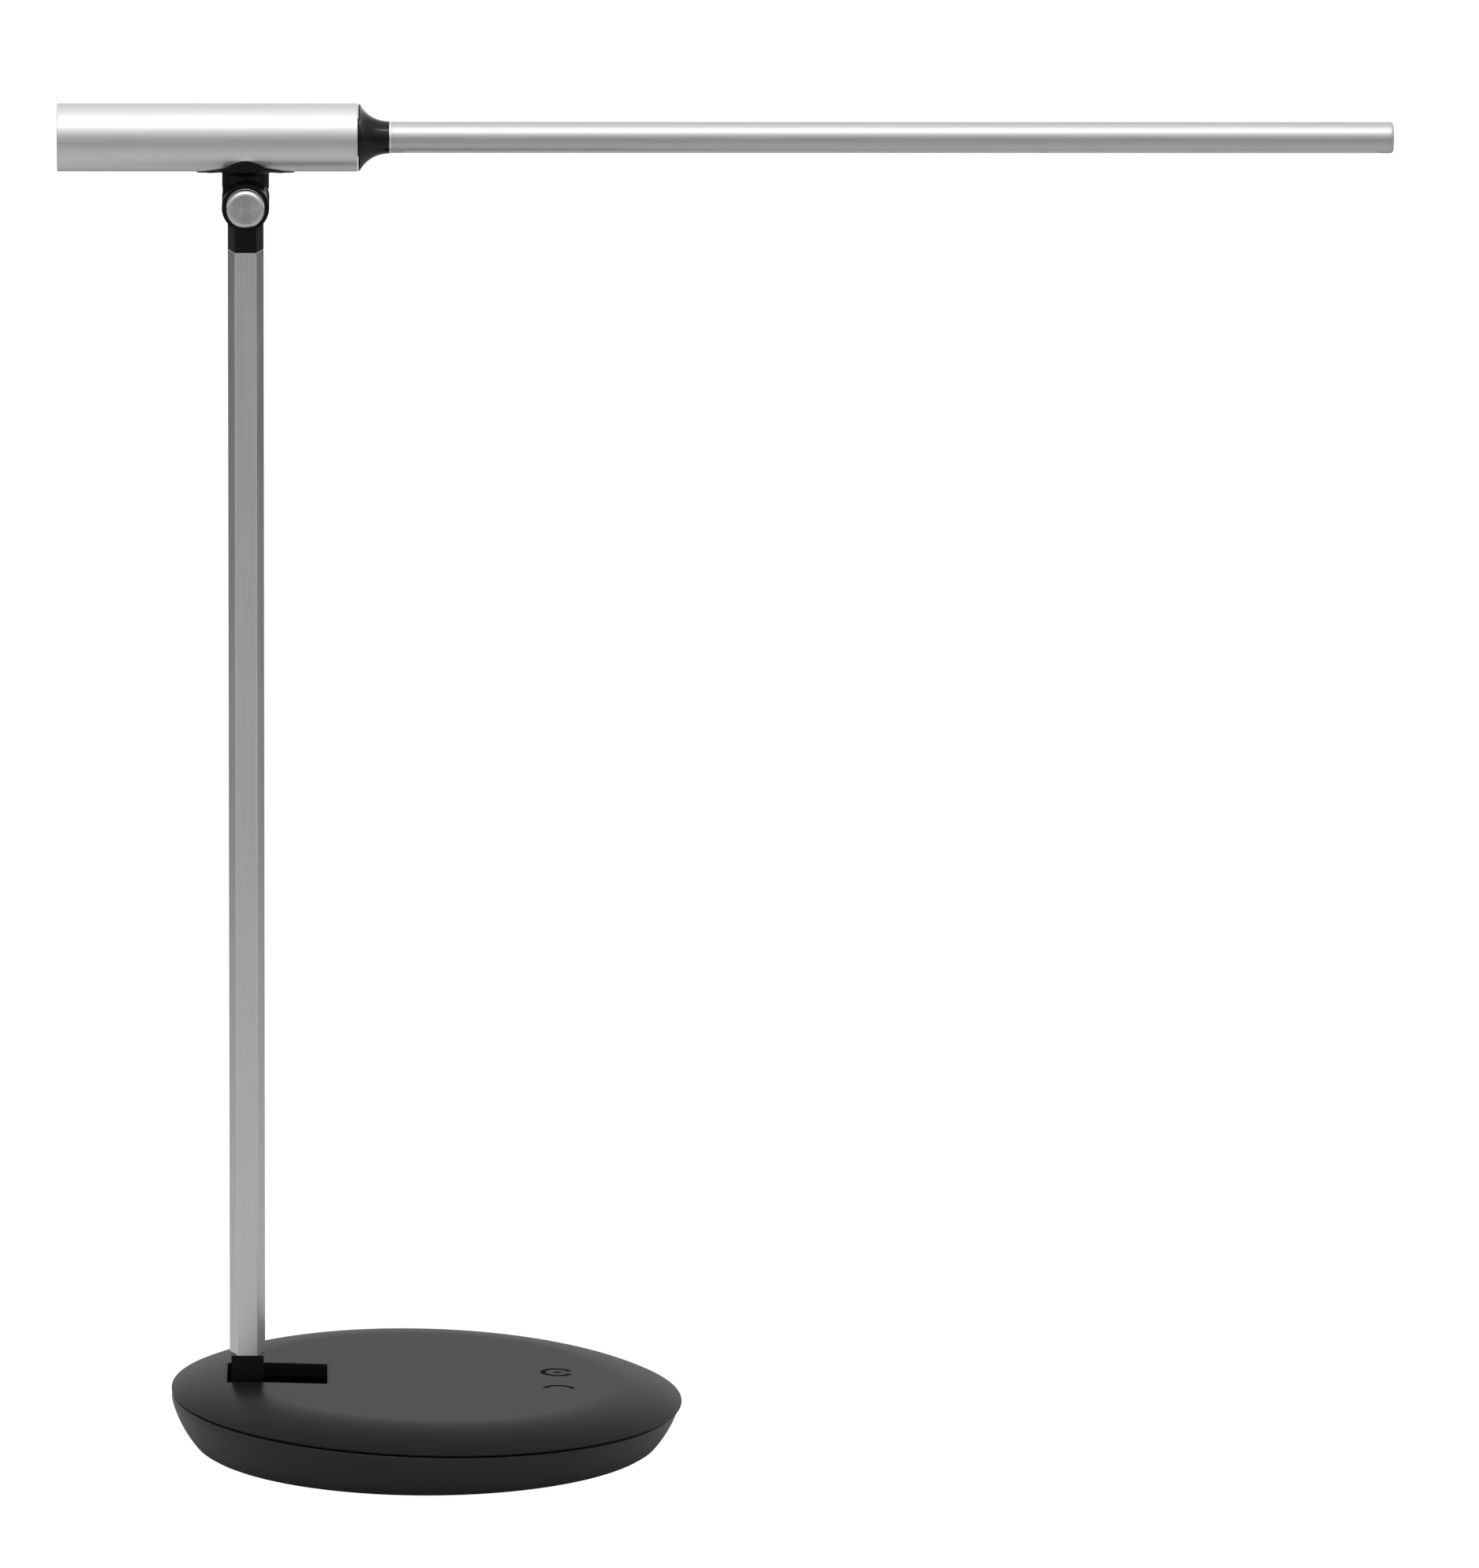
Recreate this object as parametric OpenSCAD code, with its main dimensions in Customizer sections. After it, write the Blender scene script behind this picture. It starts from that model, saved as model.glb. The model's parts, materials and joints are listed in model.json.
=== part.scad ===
// LED desk lamp: a weighted round base, a flat column that tilts forward in the
// base, and a head with a long slim light tube that tilts at the column's top.
// Millimetres, +Z up. The origin is the centre of the base, on the surface that
// the lamp stands on. +X points along the light tube, towards its tip.

/* [Base] */
// Radius of the base at its rim
rim_r = 95.2; // [92:0.1:100]
// Height of the rim above the table, at the middle of the base
rim_h = 18.3; // [18:0.1:21]
// Slope of the base's top, falling towards the light tube, in degrees
top_slope = 1.6; // [0.5:0.1:2.2]
// Rise of the domed cover above the rim
dome_h = 6.8; // [6.4:0.1:8]
// Radius of the flat middle of the cover
flat_r = 67.5; // [66:0.5:72]
// Radius of the base where its bowl would meet the table
floor_r = 85.1; // [84:0.1:88]
// Thickness of the counterweight
weight_t = 7.1; // [6:0.1:7.2]

/* [Column] */
// Distance of the column behind the middle of the base
column_x = 66.85; // [65:0.05:68]
// Width of the column's section, along X
column_w = 13.1; // [12.6:0.1:14]
// Depth of the column's section, along Y
column_d = 25; // [24.6:0.1:26]
// Height at which the bare aluminium starts
column_z0 = 36.1; // [35:0.1:38]
// Height at which the bare aluminium ends
column_z1 = 452.6; // [400:0.1:480]
// Height of the lower hinge's axis
foot_hinge_z = 14.5; // [14.5:0.1:15]

/* [Head] */
// Height of the knuckle's axis above the end of the aluminium
knuckle_rise = 16.7; // [16:0.1:18]
// Height of the barrel's axis above the knuckle's axis
barrel_rise = 24.2; // [24:0.1:26]
// Diameter of the barrel
barrel_d = 25; // [24.8:0.1:26]
// Length of the barrel
barrel_l = 110.2; // [106:0.1:116]
// Distance from the knuckle's axis to the barrel's closed end
barrel_back = 69.05; // [66:0.05:71]
// Diameter of the light tube
tube_d = 11.4; // [11:0.1:11.6]
// Length of the light tube
tube_l = 366.8; // [300:0.1:400]
// Number of LEDs in the light tube
led_count = 48; // [24:1:48]

/* [Hidden] */
$fn = 96;
eps = 0.01;

// Colours
c_shell = "#454142";
c_black = "#17181a";
c_silver = "#b9b9bb";
c_steel = "#8c9095";
c_iron = "#3a3b3d";
c_brass = "#c4a258";
c_board = "#1f5c3a";
c_opal = "#f2f1ec";
c_rubber = "#202020";

// Base: wall thicknesses, clearances and the curves of its outline
cover_t = 2.2;
tray_t = 2.4;
tray_z0 = 1;
pad_r = 80;
pad_t = 2.2;
floor_t = 2;
floor_z = pad_t + floor_t;
rim_land = 0.5;
rim_gap = 0.6;
dome_rise = dome_h - rim_land;
dome_r = (pow(rim_r - flat_r, 2) + pow(dome_rise, 2)) / (2 * dome_rise);
bowl_z = 28;
bowl_x = (pow(rim_r, 2) - pow(floor_r, 2) + pow(bowl_z - rim_h, 2)
  - pow(bowl_z, 2)) / (2 * (rim_r - floor_r));
bowl_r = norm([floor_r - bowl_x, bowl_z]);
lip_r = rim_r - 4.8;
lip_t = 1.4;
lip_h = 3;

// Screws that join the tray and the cover
boss_ring_r = 62;
boss_angles = [60, 120, 240, 300];
boss_r = 4.2;
boss_z1 = 11.6;
base_screw_r = 1.45;

// Slot in the cover and its liner
slot_x0 = -74.4;
slot_x1 = -37.4;
slot_w = 30;
liner_t = 1;
liner_h = 5;

// Depth of the key marks' inlays
mark_t = 0.3;

// Power inlet: its axis height, and the x of the mouth's flat face
jack_z = 10.5;
jack_face_x = -86.4;
jack_body_l = 8;

// Lower hinge
weight_r = 76;
weight_z1 = floor_z + weight_t;
eye_w = 16;
eye_r = 7.5;
foot_pin_r = 3;
pin_fit = 0.05;
washer_t = 0.5;
cheek_y0 = eye_w / 2 + 0.05 + washer_t;
cheek_t = 2;
cheek_y1 = cheek_y0 + cheek_t;
ear_t = 1.8;
ear_y1 = 25;
bracket_half = 9;
pin_room_x = 5.4;
pin_room_y = 16.2;
shoulder_r = 8.2;
foot_w = 12;
foot_d = 24;

// Column
column_face = 7.9;
column_chamfer_d = 8.3;
column_wall = 1.4;
plug_gap = 0.1;
plug_l = 25;
grub_inset = 8;

// Upper hinge
knuckle_z = column_z1 + knuckle_rise;
knuckle_r = 8.7;
tongue_r = 8.4;
tongue_w = 13.2;
tongue_front = 6.9;
head_washer_t = 0.4;
fork_w = tongue_w + 2 * (0.05 + head_washer_t);
bolt_r = 2.5;
knob_r = 7.1;
knob_t = 4.2;
neck_r = 8.6;
neck_clear_r = 9.1;
neck_front_clear_r = 9.95;
flare_r = 10.3;

// Lens-shaped saddle plate under the barrel: half length and half width
saddle_l = 18;
saddle_w = 8.2;
saddle_arc_r = (pow(saddle_l, 2) + pow(saddle_w, 2)) / (2 * saddle_w);
saddle_screw_x = 12.6;
saddle_t = 0.5;

// Barrel, cone and light tube
barrel_z = knuckle_z + barrel_rise;
barrel_r = barrel_d / 2;
barrel_wall = 1.6;
barrel_x0 = -column_x - barrel_back;
barrel_x1 = barrel_x0 + barrel_l;
turn_gap = 0.25;
cone_x0 = barrel_x1 + turn_gap;
cone_l = 11.2;
cone_land = 0.7;
cone_r0 = 12.3;
cone_r1 = 5.95;
cone_x1 = cone_x0 + cone_l;
spigot_r = 7;
spigot_l = 17;
bush_l = 14;
ring_l = 1.1;
tube_x0 = cone_x1 + ring_l;
tube_x1 = tube_x0 + tube_l;
tube_r = tube_d / 2;
tube_wall = 0.9;
cap_l = 1.4;
window_w = 7;
led_board_z = -1.2;

// The LED driver, along the barrel's axis
driver_x0 = barrel_x0 + 14;
driver_l = 74;

// Height of the cover's flat top above the table at a given x
function top_z(x) = rim_h + dome_h / cos(top_slope) - x * tan(top_slope);

// ---------------------------------------------------------------- helpers

// Places children on the sloping plane through the rim
module at_rim() {
  translate([0, 0, rim_h]) rotate([0, top_slope, 0]) children();
}

// A cylinder along Y, centred on y = 0
module rod_y(r, l) {
  rotate([90, 0, 0]) cylinder(r = r, h = l, center = true);
}

// A cylinder along Y between two values of y
module rod_y_span(r, y0, y1) {
  translate([0, y0, 0]) rotate([-90, 0, 0]) cylinder(r = r, h = y1 - y0);
}

// A revolved piece whose axis is X: the 2D x becomes the radius, y becomes X
module along_x(x0) {
  translate([x0, 0, 0]) rotate([0, 90, 0]) rotate_extrude() children();
}

// Children at the lower hinge's axis
module at_foot_hinge() {
  translate([-column_x, 0, foot_hinge_z]) children();
}

// Children at the knuckle's axis
module at_knuckle() {
  translate([-column_x, 0, knuckle_z]) children();
}

// Children on the barrel's axis, at x = 0 of the lamp
module at_barrel() {
  translate([0, 0, barrel_z]) children();
}

// The column's eight-sided section, made smaller all round by inset
module column_section(inset) {
  x1 = column_w / 2 - inset;
  y1 = column_d / 2 - inset;
  x2 = column_face / 2 - inset / 2;
  y2 = column_d / 2 - column_chamfer_d - inset / 4;
  polygon([
    [x1, y2], [x2, y1], [-x2, y1], [-x1, y2],
    [-x1, -y2], [-x2, -y1], [x2, -y1], [x1, -y2]
  ]);
}

// A countersunk screw pointing up: head_r at z = 0, shank_r above the cone
module countersunk(head_r, shank_r, cone_h, l) {
  cylinder(r1 = head_r, r2 = shank_r, h = cone_h);
  cylinder(r = shank_r, h = l);
}

// A hexagon across flats af, with a bore of radius bore_r, along Y
module nut_y(af, t, bore_r) {
  rotate([-90, 0, 0]) difference() {
    cylinder(d = af / cos(30), h = t, $fn = 6);
    translate([0, 0, -1]) cylinder(r = bore_r, h = t + 2);
  }
}

// A flat washer along Y, starting at y0
module washer_y(r, bore_r, y0, t) {
  difference() {
    rod_y_span(r, y0, y0 + t);
    rod_y_span(bore_r, y0 - 1, y0 + t + 1);
  }
}

// ------------------------------------------------------------------- base

// Half section of the domed cover, made smaller by inset
module cover_profile(inset) {
  intersection() {
    square([rim_r - inset, dome_h - inset]);
    union() {
      square([flat_r, dome_h - inset]);
      translate([flat_r, dome_h - dome_r]) circle(r = dome_r - inset);
    }
  }
}

// Half section of the bowl, made smaller by inset
module bowl_profile(inset, z0) {
  intersection() {
    translate([0, z0]) square([rim_r - inset, bowl_z - z0]);
    union() {
      translate([0, z0]) square([bowl_x, bowl_z - z0]);
      translate([bowl_x, bowl_z]) circle(r = bowl_r - inset);
    }
  }
}

// The slot's outline, grown by grow, as a cutter through the cover
module slot_cutter(grow) {
  l = slot_x1 - slot_x0 + 2 * grow;
  w = slot_w + 2 * grow;
  translate([slot_x0 - grow, -w / 2, -12]) cube([l, w, 30]);
}

module base_cover() {
  color(c_shell) difference() {
    union() {
      at_rim() difference() {
        rotate_extrude() cover_profile(0);
        translate([0, 0, -eps]) rotate_extrude() cover_profile(cover_t);
      }
      at_rim() translate([0, 0, -lip_h]) difference() {
        cylinder(r = lip_r, h = lip_h + 0.9);
        translate([0, 0, -1]) cylinder(r = lip_r - lip_t, h = lip_h + 3);
      }
      for (a = boss_angles) {
        x = boss_ring_r * cos(a);
        translate([x, boss_ring_r * sin(a), boss_z1])
          cylinder(r = boss_r - 0.4, h = top_z(x) - 1 - boss_z1);
      }
      at_rim() for (y = [-24, 24]) {
        translate([48, y, dome_h - cover_t - 3]) cylinder(r = 2.6, h = 4);
      }
    }
    at_rim() slot_cutter(liner_t);
    for (a = boss_angles) {
      translate([boss_ring_r * cos(a), boss_ring_r * sin(a), boss_z1 - 1])
        cylinder(r = base_screw_r + 0.05, h = 9);
    }
    at_rim() for (y = [-24, 24]) {
      translate([48, y, dome_h - cover_t - 4]) cylinder(r = 0.95, h = 4);
    }
    at_rim() translate([0, 0, dome_h - mark_t]) linear_extrude(1) key_outlines();
  }
}

// Two generic touch keys: a ring with a stem, and an arc
module key_outlines() {
  key_x = 48.5;
  line = 1.1;
  translate([key_x, 11.5]) difference() {
    circle(r = 5.7);
    circle(r = 5.7 - line);
    translate([-1.9, 2]) square([3.8, 6]);
  }
  translate([key_x - line / 2, 12.2]) square([line, 7]);
  translate([key_x + 0.4, -14.5]) difference() {
    circle(r = 6);
    circle(r = 6 - line);
    translate([-8, -8]) square([16, 9.5]);
  }
}

module key_marks() {
  color(c_black) at_rim() translate([0, 0, dome_h - mark_t])
    linear_extrude(mark_t) key_outlines();
}

module base_tray() {
  color(c_shell) difference() {
    union() {
      difference() {
        intersection() {
          rotate_extrude() bowl_profile(0, tray_z0);
          at_rim() translate([0, 0, -rim_h - 5])
            cylinder(r = rim_r - 0.15, h = rim_h + 5 - rim_gap);
        }
        rotate_extrude() bowl_profile(tray_t, floor_z);
      }
      for (a = boss_angles) {
        translate([boss_ring_r * cos(a), boss_ring_r * sin(a), floor_z - 1])
          cylinder(r = boss_r, h = boss_z1 - floor_z + 1);
      }
      jack_housing();
    }
    translate([0, 0, -1]) cylinder(r = pad_r + 0.2, h = pad_t + 1);
    for (a = boss_angles) {
      translate([boss_ring_r * cos(a), boss_ring_r * sin(a), 0]) {
        cylinder(r = 3.3, h = 5);
        cylinder(r = base_screw_r + 0.2, h = 20);
      }
    }
    jack_cutout();
  }
}

// A flat-faced block behind the inlet, inside the bowl's wall
module jack_housing() {
  intersection() {
    rotate_extrude() bowl_profile(0.3, tray_z0);
    translate([jack_face_x, -8, floor_z - 1]) cube([3, 16, 12.5]);
  }
}

// A round recess in the bowl's wall, and the hole for the inlet's barrel
module jack_cutout() {
  translate([-rim_r - 2, 0, jack_z]) rotate([0, 90, 0])
    cylinder(r = 5.2, h = rim_r + 2 + jack_face_x);
  translate([-rim_r, 0, jack_z]) rotate([0, 90, 0]) cylinder(r = 4.1, h = 14);
}

module dc_jack() {
  color(c_black) translate([0, 0, jack_z]) difference() {
    union() {
      translate([jack_face_x + 3, -4.6, -4.9]) cube([jack_body_l, 9.2, 9.8]);
      translate([jack_face_x + 0.2, 0, 0]) rotate([0, 90, 0])
        cylinder(r = 4, h = 3.8);
    }
    translate([jack_face_x - 1, 0, 0]) rotate([0, 90, 0])
      cylinder(r = 2.85, h = 10.5);
  }
}

module dc_jack_pin() {
  color(c_steel) translate([jack_face_x + 1.6, 0, jack_z]) rotate([0, 90, 0])
    union() {
      translate([0, 0, 0.6]) cylinder(r = 1, h = 7.3);
      cylinder(r1 = 0.6, r2 = 1, h = 0.6);
    }
}

module foot_pad() {
  color(c_rubber) difference() {
    cylinder(r = pad_r, h = pad_t);
    for (r = [20, 40, 60]) {
      translate([0, 0, -1]) difference() {
        cylinder(r = r + 0.8, h = 1.6);
        translate([0, 0, -1]) cylinder(r = r - 0.8, h = 4);
      }
    }
  }
}

module weight_plate() {
  color(c_iron) difference() {
    translate([0, 0, floor_z]) cylinder(r = weight_r, h = weight_t);
    for (a = boss_angles) {
      translate([boss_ring_r * cos(a), boss_ring_r * sin(a), 0])
        cylinder(r = boss_r + 0.4, h = 20);
    }
    translate([-90, -cheek_y1 - 0.4, 0]) cube([42, 2 * cheek_y1 + 0.8, 20]);
    translate([-column_x - pin_room_x, -pin_room_y, 0])
      cube([2 * pin_room_x, 2 * pin_room_y, 20]);
    bracket_holes(1.5, floor_z + 1);
  }
}

// The four screw holes that fix the hinge bracket to the counterweight
module bracket_holes(r, z0) {
  for (x = [-6, 6], y = [-20, 20]) {
    translate([x - column_x, y, z0]) cylinder(r = r, h = 12);
  }
}

module base_screws() {
  color(c_steel) for (a = boss_angles) {
    translate([boss_ring_r * cos(a), boss_ring_r * sin(a), 0]) difference() {
      union() {
        translate([0, 0, 2.8]) cylinder(r = 2.9, h = 2.2);
        translate([0, 0, 5]) cylinder(r = base_screw_r, h = 13.5);
      }
      translate([0, 0, 2]) cylinder(r = 1.2, h = 2.2, $fn = 6);
    }
  }
}

module slot_liner() {
  color(c_black) at_rim() difference() {
    intersection() {
      slot_cutter(liner_t - 0.1);
      translate([-90, -30, dome_h - liner_h]) cube([80, 60, liner_h]);
    }
    slot_cutter(0);
  }
}

// A folded bracket: a web on the tray's floor, two upright cheeks, and flanges
// that sit on the counterweight
module hinge_bracket() {
  web_t = 1.8;
  color(c_black) difference() {
    union() {
      translate([-column_x - eye_r, -cheek_y1, floor_z])
        cube([2 * eye_r, 2 * cheek_y1, web_t]);
      for (s = [-1, 1]) {
        mid = s * (cheek_y0 + cheek_y1) / 2;
        translate([0, mid, 0]) at_foot_hinge() rod_y(eye_r, cheek_t);
        translate([-column_x - eye_r, mid - cheek_t / 2, floor_z])
          cube([2 * eye_r, cheek_t, foot_hinge_z - floor_z]);
        translate([-column_x - bracket_half, s > 0 ? cheek_y0 : -ear_y1, weight_z1])
          cube([2 * bracket_half, ear_y1 - cheek_y0, ear_t]);
      }
    }
    at_foot_hinge() rod_y(foot_pin_r + 0.1, 60);
    for (y0 = [cheek_y1, -pin_room_y]) {
      translate([-column_x - pin_room_x, y0, weight_z1 - 1])
        cube([2 * pin_room_x, pin_room_y - cheek_y1, ear_t + 2]);
    }
    bracket_holes(1.7, weight_z1 - 1);
  }
}

module bracket_screws() {
  color(c_steel) for (x = [-6, 6], y = [-20, 20]) {
    translate([x - column_x, y, weight_z1 + ear_t]) {
      translate([0, 0, -ear_t - 5]) cylinder(r = 1.45, h = ear_t + 5);
      difference() {
        cylinder(r = 2.8, h = 1.8);
        translate([0, 0, 0.6]) cylinder(r = 1.2, h = 2, $fn = 6);
      }
    }
  }
}

module foot_hinge_pin() {
  color(c_steel) at_foot_hinge() {
    rod_y_span(foot_pin_r, -cheek_y1, cheek_y1 + 4.6);
    rod_y_span(4.6, -cheek_y1 - 2.4, -cheek_y1);
  }
}

module foot_hinge_nut() {
  color(c_steel) at_foot_hinge() translate([0, cheek_y1 + 0.05, 0])
    nut_y(8.6, 4, foot_pin_r + 0.02);
}

module foot_friction_washers() {
  color(c_brass) at_foot_hinge() {
    washer_y(eye_r - 0.6, foot_pin_r + 0.1, eye_w / 2 + 0.05, washer_t);
    washer_y(eye_r - 0.6, foot_pin_r + 0.1, -eye_w / 2 - 0.05 - washer_t, washer_t);
  }
}

// The touch board hangs from the cover's underside below the two keys
module touch_board() {
  color(c_board) at_rim() difference() {
    translate([33, -28, dome_h - cover_t - 4.6]) cube([31, 56, 1.6]);
    for (y = [-24, 24]) {
      translate([48, y, dome_h - cover_t - 6]) cylinder(r = 1.1, h = 5);
    }
  }
}

module touch_pads() {
  color(c_rubber) at_rim() for (y = [11.5, -13]) {
    translate([48.5, y, dome_h - cover_t - 3]) cylinder(r = 6, h = 2.98);
  }
}

module touch_board_screws() {
  color(c_steel) at_rim() for (y = [-24, 24]) {
    translate([48, y, dome_h - cover_t - 4.6]) {
      translate([0, 0, -1.4]) cylinder(r = 1.9, h = 1.4);
      cylinder(r = 0.9, h = 4.2);
    }
  }
}

// ----------------------------------------------------------------- column

module column_tube() {
  color(c_silver) translate([-column_x, 0, column_z0]) difference() {
    linear_extrude(column_z1 - column_z0) column_section(0);
    translate([0, 0, -1]) linear_extrude(column_z1 - column_z0 + 2)
      column_section(column_wall);
    for (z = [grub_inset, column_z1 - column_z0 - grub_inset]) {
      translate([0, column_d / 2 + 1, z]) rotate([90, 0, 0])
        cylinder(r = 1.6, h = 5);
    }
  }
}

// A plug that fills the column's bore over the height l
module column_plug(l) {
  linear_extrude(l) column_section(column_wall + plug_gap);
}

module column_foot() {
  color(c_black) difference() {
    union() {
      translate([-column_x, 0, column_z0]) column_plug(plug_l);
      difference() {
        translate([-column_x - foot_w / 2, -foot_d / 2, foot_hinge_z])
          cube([foot_w, foot_d, column_z0 - foot_hinge_z]);
        for (s = [-1, 1]) {
          translate([0, s * (eye_w / 2 + 10), 0]) at_foot_hinge()
            rod_y(shoulder_r, 20);
        }
      }
      at_foot_hinge() rod_y(eye_r, eye_w);
    }
    at_foot_hinge() rod_y(foot_pin_r + pin_fit, 40);
    translate([-column_x, 9.8, 0]) cylinder(r = 1.6, h = 100);
    column_tap(grub_inset + column_z0);
  }
}

// A tapped hole for a screw in the back of a plug, at height z
module column_tap(z) {
  translate([-column_x, column_d / 2, z]) rotate([90, 0, 0])
    cylinder(r = 1.3, h = 7);
}

module column_head() {
  color(c_black) difference() {
    union() {
      translate([-column_x, 0, column_z1 - plug_l]) column_plug(plug_l);
      translate([-column_x, 0, column_z1])
        linear_extrude(knuckle_rise) column_section(0);
      at_knuckle() rod_y(knuckle_r, column_d);
    }
    at_knuckle() rod_y(knuckle_r + 0.25, fork_w);
    translate([-column_x - 15, -fork_w / 2, knuckle_z]) cube([30, fork_w, 20]);
    at_knuckle() rod_y(bolt_r + 0.05, 60);
    translate([-column_x, 0, column_z1 - plug_l - 1]) cylinder(r = 2, h = 40);
    column_tap(column_z1 - grub_inset);
  }
}

module column_screws() {
  color(c_steel) for (z = [column_z0 + grub_inset, column_z1 - grub_inset]) {
    translate([-column_x, column_d / 2 - 0.1, z]) rotate([90, 0, 0]) difference() {
      union() {
        cylinder(r = 1.5, h = column_wall);
        cylinder(r = 1.25, h = 6);
      }
      translate([0, 0, -1]) cylinder(r = 0.75, h = 2.2, $fn = 6);
    }
  }
}

module column_wire() {
  color(c_rubber) translate([-column_x, 0, column_z0 + plug_l + 3])
    cylinder(r = 1.5, h = column_z1 - column_z0 - 2 * plug_l - 6);
}

// ------------------------------------------------------------ upper hinge

module hinge_bolt() {
  color(c_steel) at_knuckle() {
    rod_y_span(bolt_r, -column_d / 2, column_d / 2 + 5.4);
    rod_y_span(4.2, -column_d / 2 - 2.2, -column_d / 2);
  }
}

module hinge_knob() {
  color(c_silver) at_knuckle() translate([0, -column_d / 2, 0])
    rotate([90, 0, 0]) difference() {
      rotate_extrude() polygon([
        [0, 0.1], [knob_r, 0.1], [knob_r, knob_t - 0.7],
        [knob_r - 0.7, knob_t], [0, knob_t]
      ]);
      translate([0, 0, -1]) cylinder(r = 4.4, h = 3.4);
    }
}

module hinge_spring_washer() {
  color(c_steel) at_knuckle() washer_y(4.4, bolt_r + 0.1, column_d / 2, 1);
}

module hinge_nut() {
  color(c_steel) at_knuckle() translate([0, column_d / 2 + 1, 0])
    nut_y(8, 4, bolt_r + 0.02);
}

module hinge_back_cap() {
  color(c_black) at_knuckle() translate([0, column_d / 2, 0])
    rotate([-90, 0, 0]) difference() {
      rotate_extrude() polygon([
        [0, 0.1], [knob_r, 0.1], [knob_r, 5.6], [knob_r - 0.9, 6.5], [0, 6.5]
      ]);
      translate([0, 0, -1]) cylinder(r = 4.9, h = 6.6);
    }
}

module hinge_friction_washers() {
  color(c_brass) at_knuckle() {
    washer_y(7.4, bolt_r + 0.1, tongue_w / 2 + 0.05, head_washer_t);
    washer_y(7.4, bolt_r + 0.1, -tongue_w / 2 - 0.05 - head_washer_t, head_washer_t);
  }
}

// ------------------------------------------------------------------- head

// A round neck under the barrel, narrowed to a tongue between the fork's cheeks
module yoke() {
  color(c_black) difference() {
    union() {
      at_knuckle() rod_y(tongue_r, tongue_w);
      translate([-column_x - tongue_r, -tongue_w / 2, knuckle_z])
        cube([tongue_r + tongue_front, tongue_w, barrel_rise - barrel_r + 1]);
      difference() {
        union() {
          translate([-column_x, 0, knuckle_z])
            cylinder(r = neck_r, h = barrel_rise - 5);
          translate([-column_x, 0, barrel_z - barrel_r - 0.7])
            cylinder(r1 = neck_r, r2 = flare_r, h = flare_r - neck_r);
          translate([-column_x, 0, barrel_z - barrel_r - 0.7 + flare_r - neck_r])
            cylinder(r = flare_r, h = 5);
        }
        at_knuckle() rod_y(neck_clear_r, 60);
        at_knuckle() intersection() {
          rod_y(neck_front_clear_r, 60);
          translate([0, -30, -20]) cube([20, 60, 40]);
        }
      }
    }
    at_barrel() along_x(barrel_x0 - 1) square([barrel_r + 0.02, barrel_l + 2]);
    intersection() {
      at_barrel() along_x(-column_x - 20) square([barrel_r + saddle_t + 0.01, 40]);
      saddle_lens(0.05);
    }
    at_knuckle() rod_y(bolt_r + pin_fit, 60);
    at_knuckle() difference() {
      rod_y(tongue_r + 1, 3.2);
      rod_y(tongue_r - 2, 5);
      translate([-20, -5, 0]) cube([40, 10, 40]);
    }
    translate([-column_x - tongue_r - 1, -1.6, knuckle_z - eps]) cube([3, 3.2, 6]);
    translate([-column_x - tongue_r + 1, 0, knuckle_z + 4]) rotate([0, 40, 0])
      cylinder(r = 1.6, h = 14);
  }
}

module saddle_plate() {
  color(c_black) difference() {
    intersection() {
      at_barrel() along_x(-column_x - 20) difference() {
        square([barrel_r + saddle_t, 40]);
        translate([0, -1]) square([barrel_r + 0.02, 42]);
      }
      saddle_lens(0);
    }
    translate([-column_x, 0, knuckle_z]) cylinder(r = 3.4, h = 40);
    saddle_screw_holes(1.35, 2.35);
  }
}

// The lens outline of the saddle plate, grown by grow, as a tall prism
module saddle_lens(grow) {
  translate([-column_x, 0, barrel_z - barrel_r - 2]) intersection_for(s = [-1, 1]) {
    translate([0, s * (saddle_arc_r - saddle_w), 0])
      cylinder(r = saddle_arc_r + grow, h = 8);
  }
}

// Countersunk holes of the saddle screws: shank and head radius
module saddle_screw_holes(shank_r, head_r) {
  for (s = [-1, 1]) {
    translate([s * saddle_screw_x - column_x, 0, barrel_z - barrel_r - saddle_t - eps])
      countersunk(head_r, shank_r, 1.1, 8);
  }
}

module saddle_nut_plate() {
  color(c_steel) difference() {
    translate([-column_x - 17, -4.8, barrel_z - 9.6]) cube([34, 9.6, 2]);
    for (s = [-1, 1]) {
      translate([s * saddle_screw_x - column_x, 0, barrel_z - 12])
        cylinder(r = 1.3, h = 6);
    }
    translate([-column_x, 0, barrel_z - 12]) cylinder(r = 3.4, h = 6);
  }
}

module saddle_screws() {
  color(c_steel) for (s = [-1, 1]) {
    translate([s * saddle_screw_x - column_x, 0, barrel_z - barrel_r - saddle_t + 0.05])
      difference() {
        countersunk(2.3, 1.25, 1.05, 6);
        translate([0, 0, -1]) cylinder(r = 0.8, h = 1.6, $fn = 6);
      }
  }
}

module barrel() {
  color(c_silver) difference() {
    at_barrel() along_x(barrel_x0) polygon([
      [barrel_r - barrel_wall, 0], [barrel_r - 0.3, 0], [barrel_r, 0.3],
      [barrel_r, barrel_l - 0.3], [barrel_r - 0.3, barrel_l],
      [barrel_r - barrel_wall, barrel_l]
    ]);
    translate([-column_x, 0, barrel_z - barrel_r - 1]) cylinder(r = 3.4, h = 8);
    saddle_screw_holes(1.35, 2.35);
  }
}

module barrel_end_cap() {
  bore_r = barrel_r - barrel_wall;
  color(c_silver) at_barrel() along_x(barrel_x0 + 0.25) difference() {
    polygon([
      [0, 0], [bore_r - 0.45, 0], [bore_r - 0.05, 0.4],
      [bore_r - 0.05, 7], [0, 7]
    ]);
    translate([0, 2.2]) square([bore_r - 1.8, 8]);
  }
}

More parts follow.
